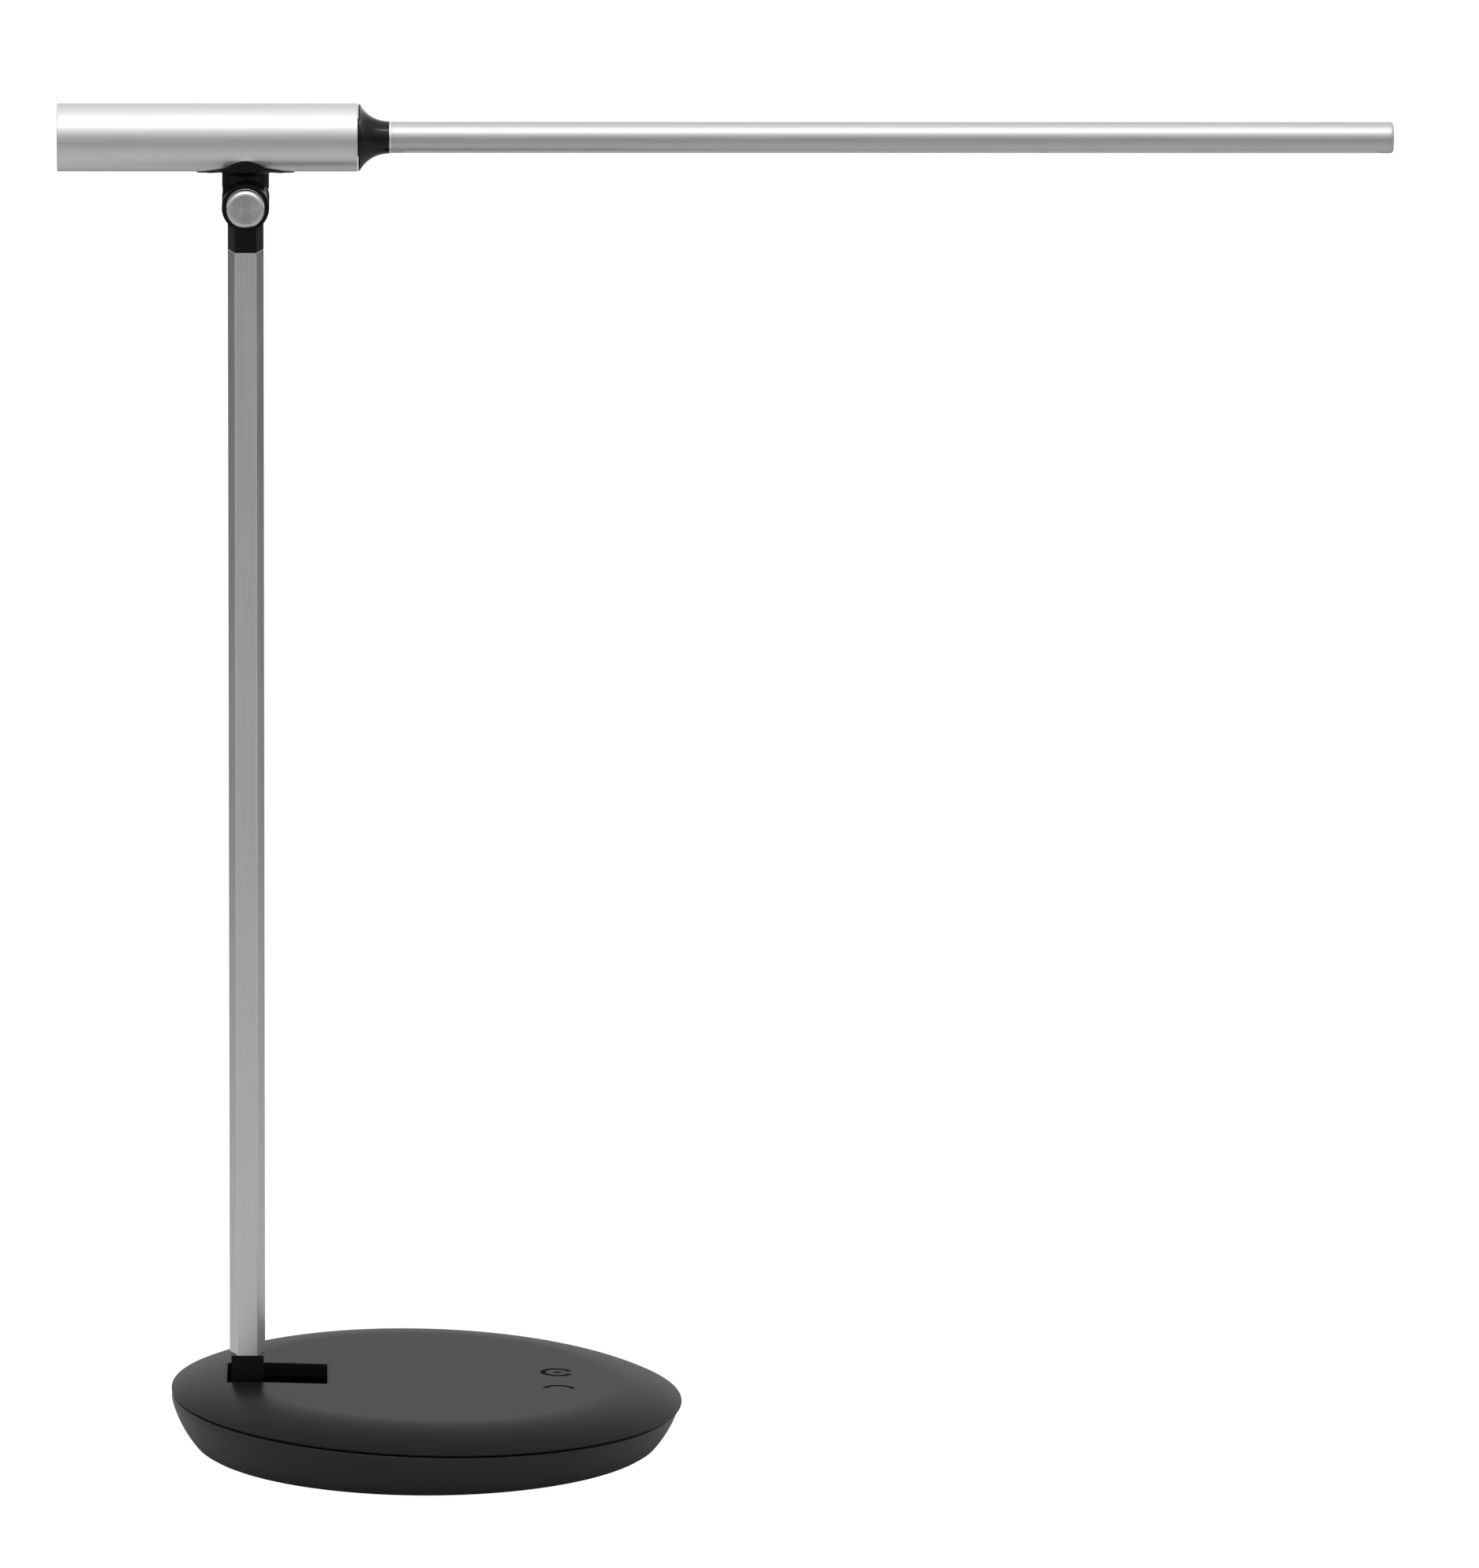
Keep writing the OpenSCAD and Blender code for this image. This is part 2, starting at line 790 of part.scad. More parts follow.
module driver_board() {
  color(c_board) translate([driver_x0, -9, barrel_z - 2]) cube([driver_l, 18, 1.6]);
}

module driver_parts() {
  board_top = barrel_z - 0.4;
  color(c_black) {
    translate([driver_x0 + 8, 0, board_top + 4]) rotate([0, 90, 0])
      cylinder(r = 4, h = 12);
    translate([driver_x0 + 26, -5, board_top]) cube([10, 10, 7]);
    translate([driver_x0 + 42, -3, board_top]) cube([5, 6, 1.6]);
    translate([driver_x0 + 54, 2, board_top]) cylinder(r = 3, h = 6);
    translate([driver_x0 + 64, -4, board_top]) cube([7, 8, 5.5]);
  }
}

// A plain bearing in the barrel's open end for the cone's spigot
module roll_bush() {
  color(c_rubber) at_barrel() along_x(barrel_x1 - bush_l) difference() {
    square([barrel_r - barrel_wall - 0.02, bush_l - 0.2]);
    translate([0, -1]) square([spigot_r + pin_fit, bush_l + 2]);
  }
}

// -------------------------------------------------------------- light bar

// Half section of the cone: a short land, then a hollow curve to the nose
module cone_profile() {
  arc_r = 12.2;
  difference() {
    square([cone_r0, cone_l]);
    difference() {
      translate([cone_r1 + arc_r, cone_l]) circle(r = arc_r);
      translate([0, -1]) square([30, cone_land + 1]);
    }
    translate([cone_r1 + arc_r, 0]) square([10, cone_l]);
  }
  translate([0, -spigot_l]) square([spigot_r, spigot_l + eps]);
}

module bar_cone() {
  color(c_black) difference() {
    at_barrel() along_x(cone_x0) difference() {
      cone_profile();
      translate([spigot_r - 1, -spigot_l + 1]) square([2, 1.1]);
      translate([0, -spigot_l - 1]) square([2.6, spigot_l + cone_l + 2]);
      translate([0, cone_l - 5]) square([tube_r - 0.95, 6]);
    }
  }
}

module roll_clip() {
  color(c_steel) at_barrel() along_x(cone_x0 - spigot_l + 1.05) difference() {
    square([spigot_r + 1.6, 1]);
    translate([0, -1]) square([spigot_r - 0.95, 3]);
  }
}

module root_ring() {
  color(c_silver) at_barrel() along_x(cone_x1) difference() {
    square([tube_r + 0.1, ring_l]);
    translate([0, -1]) square([tube_r - 1.2, ring_l + 2]);
  }
}

module light_tube() {
  color(c_silver) at_barrel() difference() {
    along_x(tube_x0) difference() {
      square([tube_r, tube_l]);
      translate([0, -1]) square([tube_r - tube_wall, tube_l + 2]);
    }
    translate([tube_x0 + 4, -window_w / 2, -tube_r - 1])
      cube([tube_l - 8, window_w, 4]);
  }
}

module diffuser() {
  color(c_opal) at_barrel() intersection() {
    along_x(tube_x0) difference() {
      square([tube_r, tube_l]);
      translate([0, -1]) square([tube_r - tube_wall, tube_l + 2]);
    }
    translate([tube_x0 + 4.1, -window_w / 2 + 0.05, -tube_r - 1])
      cube([tube_l - 8.2, window_w - 0.1, 4]);
  }
}

module led_board() {
  color(c_board) at_barrel() translate([tube_x0 + 3, -4.3, led_board_z])
    cube([tube_l - 6, 8.6, 1.2]);
}

module led_chips() {
  pitch = (tube_l - 16) / led_count;
  color(c_opal) at_barrel() for (i = [0 : led_count - 1]) {
    translate([tube_x0 + 8 + (i + 0.5) * pitch - 1.4, -1.75, led_board_z - 0.7])
      cube([2.8, 3.5, 0.7]);
  }
}

module tube_end_cap() {
  round_r = 1.1;
  color(c_silver) at_barrel() {
    along_x(tube_x1) intersection() {
      square([tube_r, cap_l]);
      union() {
        square([tube_r - round_r, cap_l]);
        square([tube_r, cap_l - round_r]);
        translate([tube_r - round_r, cap_l - round_r]) circle(r = round_r);
      }
    }
    translate([tube_x1 - 2.5, 0, 0]) rotate([0, 90, 0])
      cylinder(r = tube_r - tube_wall - 0.05, h = 2.5 + eps);
  }
}

base_tray();
base_cover();
foot_pad();
weight_plate();
base_screws();
slot_liner();
hinge_bracket();
bracket_screws();
foot_hinge_pin();
foot_hinge_nut();
foot_friction_washers();
touch_board();
touch_pads();
touch_board_screws();
key_marks();
dc_jack();
dc_jack_pin();
column_tube();
column_foot();
column_head();
column_screws();
column_wire();
hinge_bolt();
hinge_knob();
hinge_nut();
hinge_back_cap();
hinge_friction_washers();
hinge_spring_washer();
yoke();
saddle_plate();
saddle_nut_plate();
saddle_screws();
barrel();
barrel_end_cap();
driver_board();
driver_parts();
roll_bush();
bar_cone();
roll_clip();
root_ring();
light_tube();
led_board();
led_chips();
diffuser();
tube_end_cap();
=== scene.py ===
"""The looks of an LED desk lamp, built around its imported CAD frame. Lengths are in metres."""
import json
import math

import bmesh
import bpy
from mathutils import Euler, Matrix, Vector


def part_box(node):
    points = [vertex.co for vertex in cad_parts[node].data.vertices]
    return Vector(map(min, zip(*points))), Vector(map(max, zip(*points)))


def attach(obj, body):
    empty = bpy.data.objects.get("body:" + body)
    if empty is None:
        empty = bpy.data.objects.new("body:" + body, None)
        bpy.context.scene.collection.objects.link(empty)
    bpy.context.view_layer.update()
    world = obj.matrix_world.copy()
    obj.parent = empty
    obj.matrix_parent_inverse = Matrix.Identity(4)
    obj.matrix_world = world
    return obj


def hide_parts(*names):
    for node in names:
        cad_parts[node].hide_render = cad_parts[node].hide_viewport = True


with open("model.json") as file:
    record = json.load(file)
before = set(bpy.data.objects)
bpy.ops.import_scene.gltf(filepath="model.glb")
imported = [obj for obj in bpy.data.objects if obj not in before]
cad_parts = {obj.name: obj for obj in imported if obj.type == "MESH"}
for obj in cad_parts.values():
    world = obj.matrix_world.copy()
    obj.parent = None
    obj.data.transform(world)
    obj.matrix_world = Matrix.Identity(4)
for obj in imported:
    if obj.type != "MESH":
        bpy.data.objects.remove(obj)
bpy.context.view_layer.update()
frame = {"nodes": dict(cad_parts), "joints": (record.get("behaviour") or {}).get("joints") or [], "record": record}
MM = 0.001

# ------------------------------------------------------- places, from the frame

cover_low, cover_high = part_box("base_cover")
_, pad_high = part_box("foot_pad")
column_low, column_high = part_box("column_tube")
knob_low, knob_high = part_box("hinge_knob")
cap_low, cap_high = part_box("hinge_back_cap")
barrel_low, barrel_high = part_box("barrel")
_, cone_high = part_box("bar_cone")
ring_low, ring_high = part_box("root_ring")
tube_low, tube_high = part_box("light_tube")
_, end_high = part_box("tube_end_cap")
joint_at = {joint["name"]: Vector(joint["pos_m"]) for joint in frame["joints"]}
mount_at = {mount["name"]: mount["pos_m"] for mount in frame["record"]["mounts"]}

COLUMN_X = (column_low.x + column_high.x) / 2
KNUCKLE = joint_at["head_tilt"]
BAR_Z = (barrel_low.z + barrel_high.z) / 2
BARREL_R = (barrel_high.z - barrel_low.z) / 2
TUBE_R = (tube_high.z - tube_low.z) / 2

# The base's cover is turned about an axis that leans towards the light tube by TOP_SLOPE
TOP_SLOPE = math.radians(1.6)
RIM_R = (cover_high.y - cover_low.y) / 2
RIM_H = 18.3 * MM  # height of the rim's middle over the table
DOME_H = 6.8 * MM  # the flat top over the rim's plane
FLAT_R = 67.5 * MM  # where the flat top turns into the dome's arc
RIM_LAND = 0.5 * MM  # upright band at the rim, under the arc
DOME_R = ((RIM_R - FLAT_R) ** 2 + (DOME_H - RIM_LAND) ** 2) / (2 * (DOME_H - RIM_LAND))
RIM_GAP = 0.6 * MM  # shadow gap between cover and tray
SLOT_X0, SLOT_X1, SLOT_W = -74.4 * MM, -37.4 * MM, 30 * MM
LINER_T = 0.9 * MM  # width of the slot's edging

# ------------------------------------------------------------- mesh helpers


def new_object(name, data):
    """A linked object that holds a mesh, a light or a camera."""
    piece = bpy.data.objects.new(name, data)
    bpy.context.scene.collection.objects.link(piece)
    return piece


def smooth(mesh, angle=35):
    """Smooth shading, with the edges sharper than angle kept."""
    mesh.shade_smooth()
    mesh.set_sharp_from_angle(angle=math.radians(angle))


def mesh_object(name, points, faces, angle=35):
    """An object from points and faces, with its normals turned outwards."""
    mesh = bpy.data.meshes.new(name)
    mesh.from_pydata(points, [], faces)
    build = bmesh.new()
    build.from_mesh(mesh)
    bmesh.ops.recalc_face_normals(build, faces=build.faces)
    build.to_mesh(mesh)
    build.free()
    smooth(mesh, angle)
    return new_object(name, mesh)


def bake_modifiers(piece):
    """Puts the result of the piece's modifiers into its mesh."""
    evaluated = piece.evaluated_get(bpy.context.evaluated_depsgraph_get())
    mesh = bpy.data.meshes.new_from_object(evaluated)
    piece.modifiers.clear()
    piece.data = mesh


def weld(mesh, gap, dissolve=False):
    """Joins the points that are nearer than gap, and on demand closes faces thinner than that."""
    build = bmesh.new()
    build.from_mesh(mesh)
    bmesh.ops.remove_doubles(build, verts=build.verts, dist=gap)
    if dissolve:
        bmesh.ops.dissolve_degenerate(build, edges=build.edges, dist=gap)
    build.to_mesh(mesh)
    build.free()


def combine(piece, operation, tools):
    """Joins the tools to the piece (UNION) or takes them away (DIFFERENCE), and deletes them."""
    for tool in tools:
        step = piece.modifiers.new("combine", "BOOLEAN")
        step.object = tool
        step.operation = operation
        step.solver = "EXACT"
    bake_modifiers(piece)
    for tool in tools:
        bpy.data.objects.remove(tool)


def cut(piece, *cutters):
    """Takes the cutters away, and closes the needle faces that a cut leaves along an edge."""
    combine(piece, "DIFFERENCE", cutters)
    weld(piece.data, 2e-6, dissolve=True)
    smooth(piece.data)


def soften(piece, width):
    """Rounds the sharp edges by width, and keeps the flats flat."""
    bevel = piece.modifiers.new("bevel", "BEVEL")
    bevel.width = width
    bevel.segments = 3
    bevel.limit_method = "ANGLE"
    bevel.angle_limit = math.radians(28)
    bevel.miter_outer = "MITER_ARC"
    bevel.use_clamp_overlap = True
    weigh = piece.modifiers.new("normals", "WEIGHTED_NORMAL")
    weigh.keep_sharp = True
    piece.data.shade_smooth()
    bake_modifiers(piece)


def fillet(corners, steps=5):
    """A closed outline from corners (x, y, radius): each corner becomes an arc of its radius."""
    outline = []
    count = len(corners)
    for i, (x, y, radius) in enumerate(corners):
        here = Vector((x, y))
        if radius <= 0:
            outline.append(here)
            continue
        before = (Vector(corners[i - 1][:2]) - here).normalized()
        after = (Vector(corners[(i + 1) % count][:2]) - here).normalized()
        half = before.angle(after) / 2
        centre = here + (before + after).normalized() * (radius / math.sin(half))
        start = here + before * (radius / math.tan(half)) - centre
        end = here + after * (radius / math.tan(half)) - centre
        turn = start.angle_signed(end)
        for k in range(steps + 1):
            outline.append(centre + Matrix.Rotation(-turn * k / steps, 2) @ start)
    return [(p.x, p.y) for p in outline]


def arc(centre, radius, start, end, steps):
    """Points on an arc, from angle start to angle end in degrees."""
    angles = [math.radians(start + (end - start) * k / steps) for k in range(steps + 1)]
    return [(centre[0] + radius * math.cos(a), centre[1] + radius * math.sin(a)) for a in angles]


# Turns that lay a lathe's own Z axis along the named direction
AXES = {
    "X": Matrix(((0, 0, 1), (0, 1, 0), (-1, 0, 0))),
    "-Y": Matrix(((1, 0, 0), (0, 0, -1), (0, 1, 0))),
    "Y": Matrix(((-1, 0, 0), (0, 0, 1), (0, 1, 0))),
    "Z": Matrix.Identity(3),
}


ON_AXIS = 1e-7  # points nearer to the axis than this share one vertex


def lathe(name, outline, axis="Z", origin=(0, 0, 0), steps=192, lean=0.0):
    """Turns a closed outline of (radius, height) about an axis through origin."""
    turn = Euler((0, lean, 0)).to_matrix() @ AXES[axis]
    points, faces, rings = [], [], []
    for radius, height in outline:
        if radius < ON_AXIS:
            rings.append([len(points)] * steps)
            points.append(turn @ Vector((0, 0, height)) + Vector(origin))
            continue
        rings.append(list(range(len(points), len(points) + steps)))
        for k in range(steps):
            a = math.tau * k / steps
            spot = Vector((radius * math.cos(a), radius * math.sin(a), height))
            points.append(turn @ spot + Vector(origin))
    for low, high in zip(rings, rings[1:] + rings[:1]):
        for k in range(steps):
            n = (k + 1) % steps
            face = list(dict.fromkeys((low[k], low[n], high[n], high[k])))
            if len(face) > 2:
                faces.append(face)
    return mesh_object(name, points, faces)


def band_faces(loops, count, closed=True):
    """Four-sided faces between neighbouring loops of count points each."""
    faces = []
    for i in range(loops if closed else loops - 1):
        j = (i + 1) % loops
        faces += [
            (i * count + k, i * count + (k + 1) % count, j * count + (k + 1) % count, j * count + k)
            for k in range(count)
        ]
    return faces


def prism(name, outline, z0, z1):
    """A straight prism on an outline of (x, y)."""
    count = len(outline)
    points = [(x, y, z) for z in (z0, z1) for x, y in outline]
    sides = [(k, (k + 1) % count, count + (k + 1) % count, count + k) for k in range(count)]
    return mesh_object(name, points, [*sides, tuple(range(count)), tuple(range(count, 2 * count))])


def rod(name, radius, start, end, steps=96):
    """A plain cylinder between two points, used as a cutter."""
    line = Vector(end) - Vector(start)
    outline = [(0, 0), (radius, 0), (radius, line.length), (0, line.length)]
    piece = lathe(name, outline, steps=steps)
    turn = line.to_track_quat("Z", "Y").to_matrix().to_4x4()
    piece.data.transform(Matrix.Translation(Vector(start)) @ turn)
    return piece


def cad_copy(node):
    """A new piece with a CAD node's shape: doubles welded and flat faces joined."""
    mesh = frame["nodes"][node].data.copy()
    build = bmesh.new()
    build.from_mesh(mesh)
    bmesh.ops.remove_doubles(build, verts=build.verts, dist=1e-6)
    bmesh.ops.dissolve_limit(
        build, angle_limit=math.radians(0.8), verts=build.verts, edges=build.edges
    )
    bmesh.ops.recalc_face_normals(build, faces=build.faces)
    build.to_mesh(mesh)
    build.free()
    mesh.materials.clear()
    if mesh.attributes.get("custom_normal"):
        mesh.attributes.remove(mesh.attributes["custom_normal"])
    smooth(mesh, 28)
    return new_object(node + "_finished", mesh)


# ------------------------------------------------------------ material helpers


class Paint:
    """A procedural material on a Principled shader, with short calls for its nodes."""

    def __init__(self, name, **constants):
        self.material = bpy.data.materials.new(name)
        self.material.use_nodes = True
        tree = self.material.node_tree
        self.nodes, self.links = tree.nodes, tree.links
        self.shader = self.nodes["Principled BSDF"]
        for socket, value in constants.items():
            self.shader.inputs[socket.replace("_", " ")].default_value = value
        self.place = self.nodes.new("ShaderNodeTexCoord").outputs["Object"]

    def add(self, kind, inputs=(), **settings):
        """A node with its settings; an input is a number, a colour or another node's output."""
        node = self.nodes.new(kind)
        for key, value in settings.items():
            setattr(node, key, value)
        for key, value in dict(inputs).items():
            if hasattr(value, "is_output"):
                self.links.new(value, node.inputs[key])
            else:
                node.inputs[key].default_value = value
        return node

    def scaled(self, x, y, z):
        """The object's place, stretched on each axis."""
        return self.add("ShaderNodeMapping", {"Vector": self.place, "Scale": (x, y, z)}).outputs[0]

    def noise(self, scale, detail, place=None):
        """Even noise with scale cells in a metre, at the object's place or a stretched one."""
        inputs = {"Vector": place or self.place, "Scale": scale, "Detail": detail, "Roughness": 0.5}
        return self.add("ShaderNodeTexNoise", inputs).outputs["Fac"]

    def spread(self, value, low, high, start=0.35, end=0.65):
        """Maps value from start..end to low..high."""
        inputs = {"Value": value, "From Min": start, "From Max": end, "To Min": low, "To Max": high}
        return self.add("ShaderNodeMapRange", inputs).outputs[0]

    def tint(self, value, low, high):
        """A colour that goes from low to high over the middle of a noise's range."""
        found = self.add("ShaderNodeValToRGB", {"Fac": value})
        for stop, place, colour in zip(found.color_ramp.elements, (0.3, 0.7), (low, high)):
            stop.position = place
            stop.color = (*colour, 1)
        return found.outputs[0]

    def bump(self, height, strength, distance, base=None):
        """A normal bent by height, on top of the base normal where one is given."""
        inputs = {"Height": height, "Strength": strength, "Distance": distance}
        if base is not None:
            inputs["Normal"] = base
        return self.add("ShaderNodeBump", inputs).outputs[0]

    def set(self, socket, value):
        """Feeds one input of the shader."""
        self.links.new(value, self.shader.inputs[socket])


def grey(value, warm=0.0):
    """A grey of that brightness, a little warmer or cooler."""
    return (value * (1 + warm), value, value * (1 - warm))


def brushed(name, low, high, along, rough, grain):
    """Satin anodised aluminium with a fine grain that runs along one axis."""
    paint = Paint(name, Metallic=1.0)
    stretch = {"X": (0.012, 1, 1), "Z": (1, 1, 0.012)}[along]
    streaks = paint.noise(2600, 3, paint.scaled(*stretch))
    cloud = paint.noise(22, 3)
    paint.set("Base Color", paint.tint(streaks, grey(low), grey(high)))
    both = paint.add("ShaderNodeMath", {0: streaks, 1: cloud}, operation="ADD").outputs[0]
    paint.set("Roughness", paint.spread(both, rough - 0.035, rough + 0.035, 0.75, 1.25))
    etched = paint.bump(paint.noise(9000, 1), 0.04, 0.02 * MM)
    paint.set("Normal", paint.bump(streaks, grain, 0.006 * MM, etched))
    return paint.material


def moulded(name, low, high, rough, level, grain=0.35, scale=5200, hue=(1, 1, 1), sheen=(1, 1, 1)):
    """Plastic, rubber or cast iron with a fine texture. Level is the strength of its gloss."""
    paint = Paint(name, Specular_IOR_Level=level, Specular_Tint=(*sheen, 1))
    cloud = paint.noise(35, 4)
    texture = paint.noise(scale, 2)
    dark, pale = [low * c for c in hue], [high * c for c in hue]
    paint.set("Base Color", paint.tint(cloud, dark, pale))
    paint.set("Roughness", paint.spread(paint.noise(1900, 2), rough - 0.012, rough + 0.012))
    paint.set("Normal", paint.bump(texture, grain, 0.012 * MM))
    return paint.material


def painted(name, low, high, rough):
    """Satin black paint on metal, with a faint orange peel."""
    paint = Paint(name, Specular_IOR_Level=0.2)
    paint.set("Base Color", paint.tint(paint.noise(60, 3), grey(low), grey(high)))
    paint.set("Roughness", paint.spread(paint.noise(700, 2), rough - 0.05, rough + 0.06))
    peel = paint.bump(paint.noise(1500, 2), 0.25, 0.02 * MM)
    paint.set("Normal", paint.bump(paint.noise(7000, 1), 0.2, 0.006 * MM, peel))
    return paint.material


def plated(name, low, high, rough, warm=0.0):
    """Plated steel or brass: clouded, with short scratches."""
    paint = Paint(name, Metallic=1.0)
    scratches = paint.noise(1800, 3, paint.scaled(1, 0.15, 0.4))
    paint.set("Base Color", paint.tint(paint.noise(260, 4), grey(low, warm), grey(high, warm)))
    paint.set("Roughness", paint.spread(scratches, rough - 0.08, rough + 0.1))
    paint.set("Normal", paint.bump(scratches, 0.3, 0.006 * MM))
    return paint.material


WAVE_PITCH = 0.314  # metres between the wave texture's rings at a scale of 1


def turned(name, low, high, rough, axis, centre, pitch):
    """Metal with the concentric marks of a lathe tool, about a line through centre."""
    paint = Paint(name, Metallic=1.0, Anisotropic=0.75)
    shift = paint.add("ShaderNodeMapping", {"Vector": paint.place, "Location": [-c for c in centre]})
    rings = paint.add(
        "ShaderNodeTexWave",
        {"Vector": shift.outputs[0], "Scale": WAVE_PITCH / pitch, "Distortion": 0.6, "Detail": 2.0,
         "Detail Scale": 3.0},
        wave_type="RINGS", rings_direction=axis,
    ).outputs["Fac"]
    cloud = paint.noise(500, 3)
    paint.set("Base Color", paint.tint(rings, grey(low), grey(high)))
    paint.set("Roughness", paint.spread(cloud, rough - 0.05, rough + 0.05))
    paint.set("Normal", paint.bump(rings, 0.3, 0.008 * MM))
    tangent = paint.add("ShaderNodeTangent", direction_type="RADIAL", axis=axis)
    paint.set("Tangent", tangent.outputs[0])
    return paint.material


# ---------------------------------------------------------------- materials

shell_paint = moulded("base_shell", 0.0076, 0.0084, 0.33, 0.061, grain=0.02,
                      hue=(1.22, 0.95, 1.0), sheen=(1.0, 0.93, 0.95))
tray_paint = moulded("base_tray_shell", 0.016, 0.018, 0.38, 0.28, grain=0.08)
pad_paint = moulded("pad_rubber", 0.012, 0.020, 0.85, 0.2, grain=0.8, scale=1800)
casting_paint = painted("black_casting", 0.0022, 0.0034, 0.36)
steel_black_paint = painted("black_steel", 0.008, 0.012, 0.45)
plastic_black_paint = moulded("black_plastic", 0.005, 0.008, 0.45, 0.25)
iron_paint = moulded("dark_plate", 0.018, 0.030, 0.6, 0.3, grain=0.9, scale=900)
steel_paint = plated("zinc_steel", 0.42, 0.55, 0.33)
brass_paint = plated("brass_washers", 0.42, 0.52, 0.32, warm=0.38)
barrel_paint = brushed("anodised_barrel", 0.73, 0.77, "X", 0.37, grain=0.06)
tube_paint = brushed("anodised_tube", 0.58, 0.62, "X", 0.44, grain=0.06)
column_paint = brushed("anodised_column", 0.73, 0.77, "Z", 0.32, grain=0.08)
end_paint = turned("turned_end", 0.46, 0.54, 0.32, "X", (0, 0, BAR_Z), 0.35 * MM)
knob_paint = turned("turned_knob", 0.54, 0.74, 0.26, "Y", KNUCKLE, 0.28 * MM)
ring_paint = turned("turned_ring", 0.72, 0.82, 0.28, "X", (0, 0, BAR_Z), 0.3 * MM)
bush_paint = moulded("acetal", 0.02, 0.03, 0.4, 0.4)


def cone_material():
    """Black anodised turning: dark and glossy, with fine lines around its axis."""
    paint = Paint("black_turning", Metallic=1.0)
    paint.set("Base Color", paint.tint(paint.noise(300, 3), grey(0.028), grey(0.034)))
    paint.set("Roughness", paint.spread(paint.noise(900, 2), 0.13, 0.18))
    hairs = paint.noise(5200, 2, paint.scaled(1, 0.02, 0.02))
    paint.set("Normal", paint.bump(hairs, 0.25, 0.006 * MM))
    return paint.material


def board_material(name, mask, track):
    """A printed circuit board: solder mask over faint tracks."""
    paint = Paint(name, Roughness=0.32, Specular_IOR_Level=0.5)
    tracks = paint.add(
        "ShaderNodeTexBrick",
        {"Vector": paint.place, "Scale": 120.0, "Mortar Size": 0.03, "Color1": (*mask, 1),
         "Color2": (*[1.15 * c for c in mask], 1), "Mortar": (*track, 1)},
    )
    paint.set("Base Color", tracks.outputs["Color"])
    paint.set("Normal", paint.bump(tracks.outputs["Fac"], 0.3, 0.03 * MM))
    return paint.material


def opal_material():
    """Opal polycarbonate: soft, milky, with a slight gloss."""
    paint = Paint(
        "opal_diffuser", Subsurface_Weight=0.35, Subsurface_Scale=0.002,
        Subsurface_Radius=(1, 1, 1), Specular_IOR_Level=0.4,
    )
    paint.set("Base Color", paint.tint(paint.noise(90, 3), grey(0.80, 0.01), grey(0.86, 0.01)))
    paint.set("Roughness", paint.spread(paint.noise(1400, 2), 0.34, 0.44))
    paint.set("Normal", paint.bump(paint.noise(3500, 1), 0.15, 0.006 * MM))
    return paint.material


def led_material():
    """LED packages: speckled yellow phosphor under clear resin."""
    paint = Paint("led_package", Roughness=0.25, Coat_Weight=0.4, Coat_Roughness=0.1)
    speck = paint.noise(2500, 2)
    paint.set("Base Color", paint.tint(speck, (0.75, 0.62, 0.16), (0.9, 0.82, 0.35)))
    return paint.material


def ink_material():
    """Dark ink, printed on the cover."""
    paint = Paint("key_ink", Specular_IOR_Level=0.0)
    paint.set("Base Color", paint.tint(paint.noise(800, 3), grey(0.010), grey(0.014)))
    paint.set("Roughness", paint.spread(paint.noise(900, 2), 0.4, 0.5))
    return paint.material


cone_paint = cone_material()
green_paint = board_material("green_board", (0.012, 0.075, 0.03), (0.03, 0.16, 0.06))
white_paint = board_material("white_board", (0.78, 0.78, 0.75), (0.62, 0.62, 0.60))
opal_paint = opal_material()
led_paint = led_material()
ink_paint = ink_material()


def finish_piece(piece, paint, body, slot, *nodes):
    """Gives a new piece its material and body, and hides the nodes that it stands for. The slot argument is not
    used.
    """
    piece.data.materials.clear()
    piece.data.materials.append(paint)
    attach(piece, body)
    if nodes:
        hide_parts(*nodes)


# --------------------------------------------------------------------- base


def dome_height(radius):
    """Height of the cover's top over the rim's plane."""
    if radius <= FLAT_R:
        return DOME_H
    return DOME_H - DOME_R + math.sqrt(DOME_R**2 - (radius - FLAT_R) ** 2)


def on_rim(x, y, height):
    """A point of the leaning cover, in the lamp's frame."""
    return Euler((0, TOP_SLOPE, 0)).to_matrix() @ Vector((x, y, height)) + Vector((0, 0, RIM_H))


def rounded_rectangle(x0, x1, width, radius, steps=8):
    """An outline from x0 to x1, centred on y = 0."""
    corners = [(x0, -width / 2), (x1, -width / 2), (x1, width / 2), (x0, width / 2)]
    return fillet([(x, y, radius) for x, y in corners], steps)


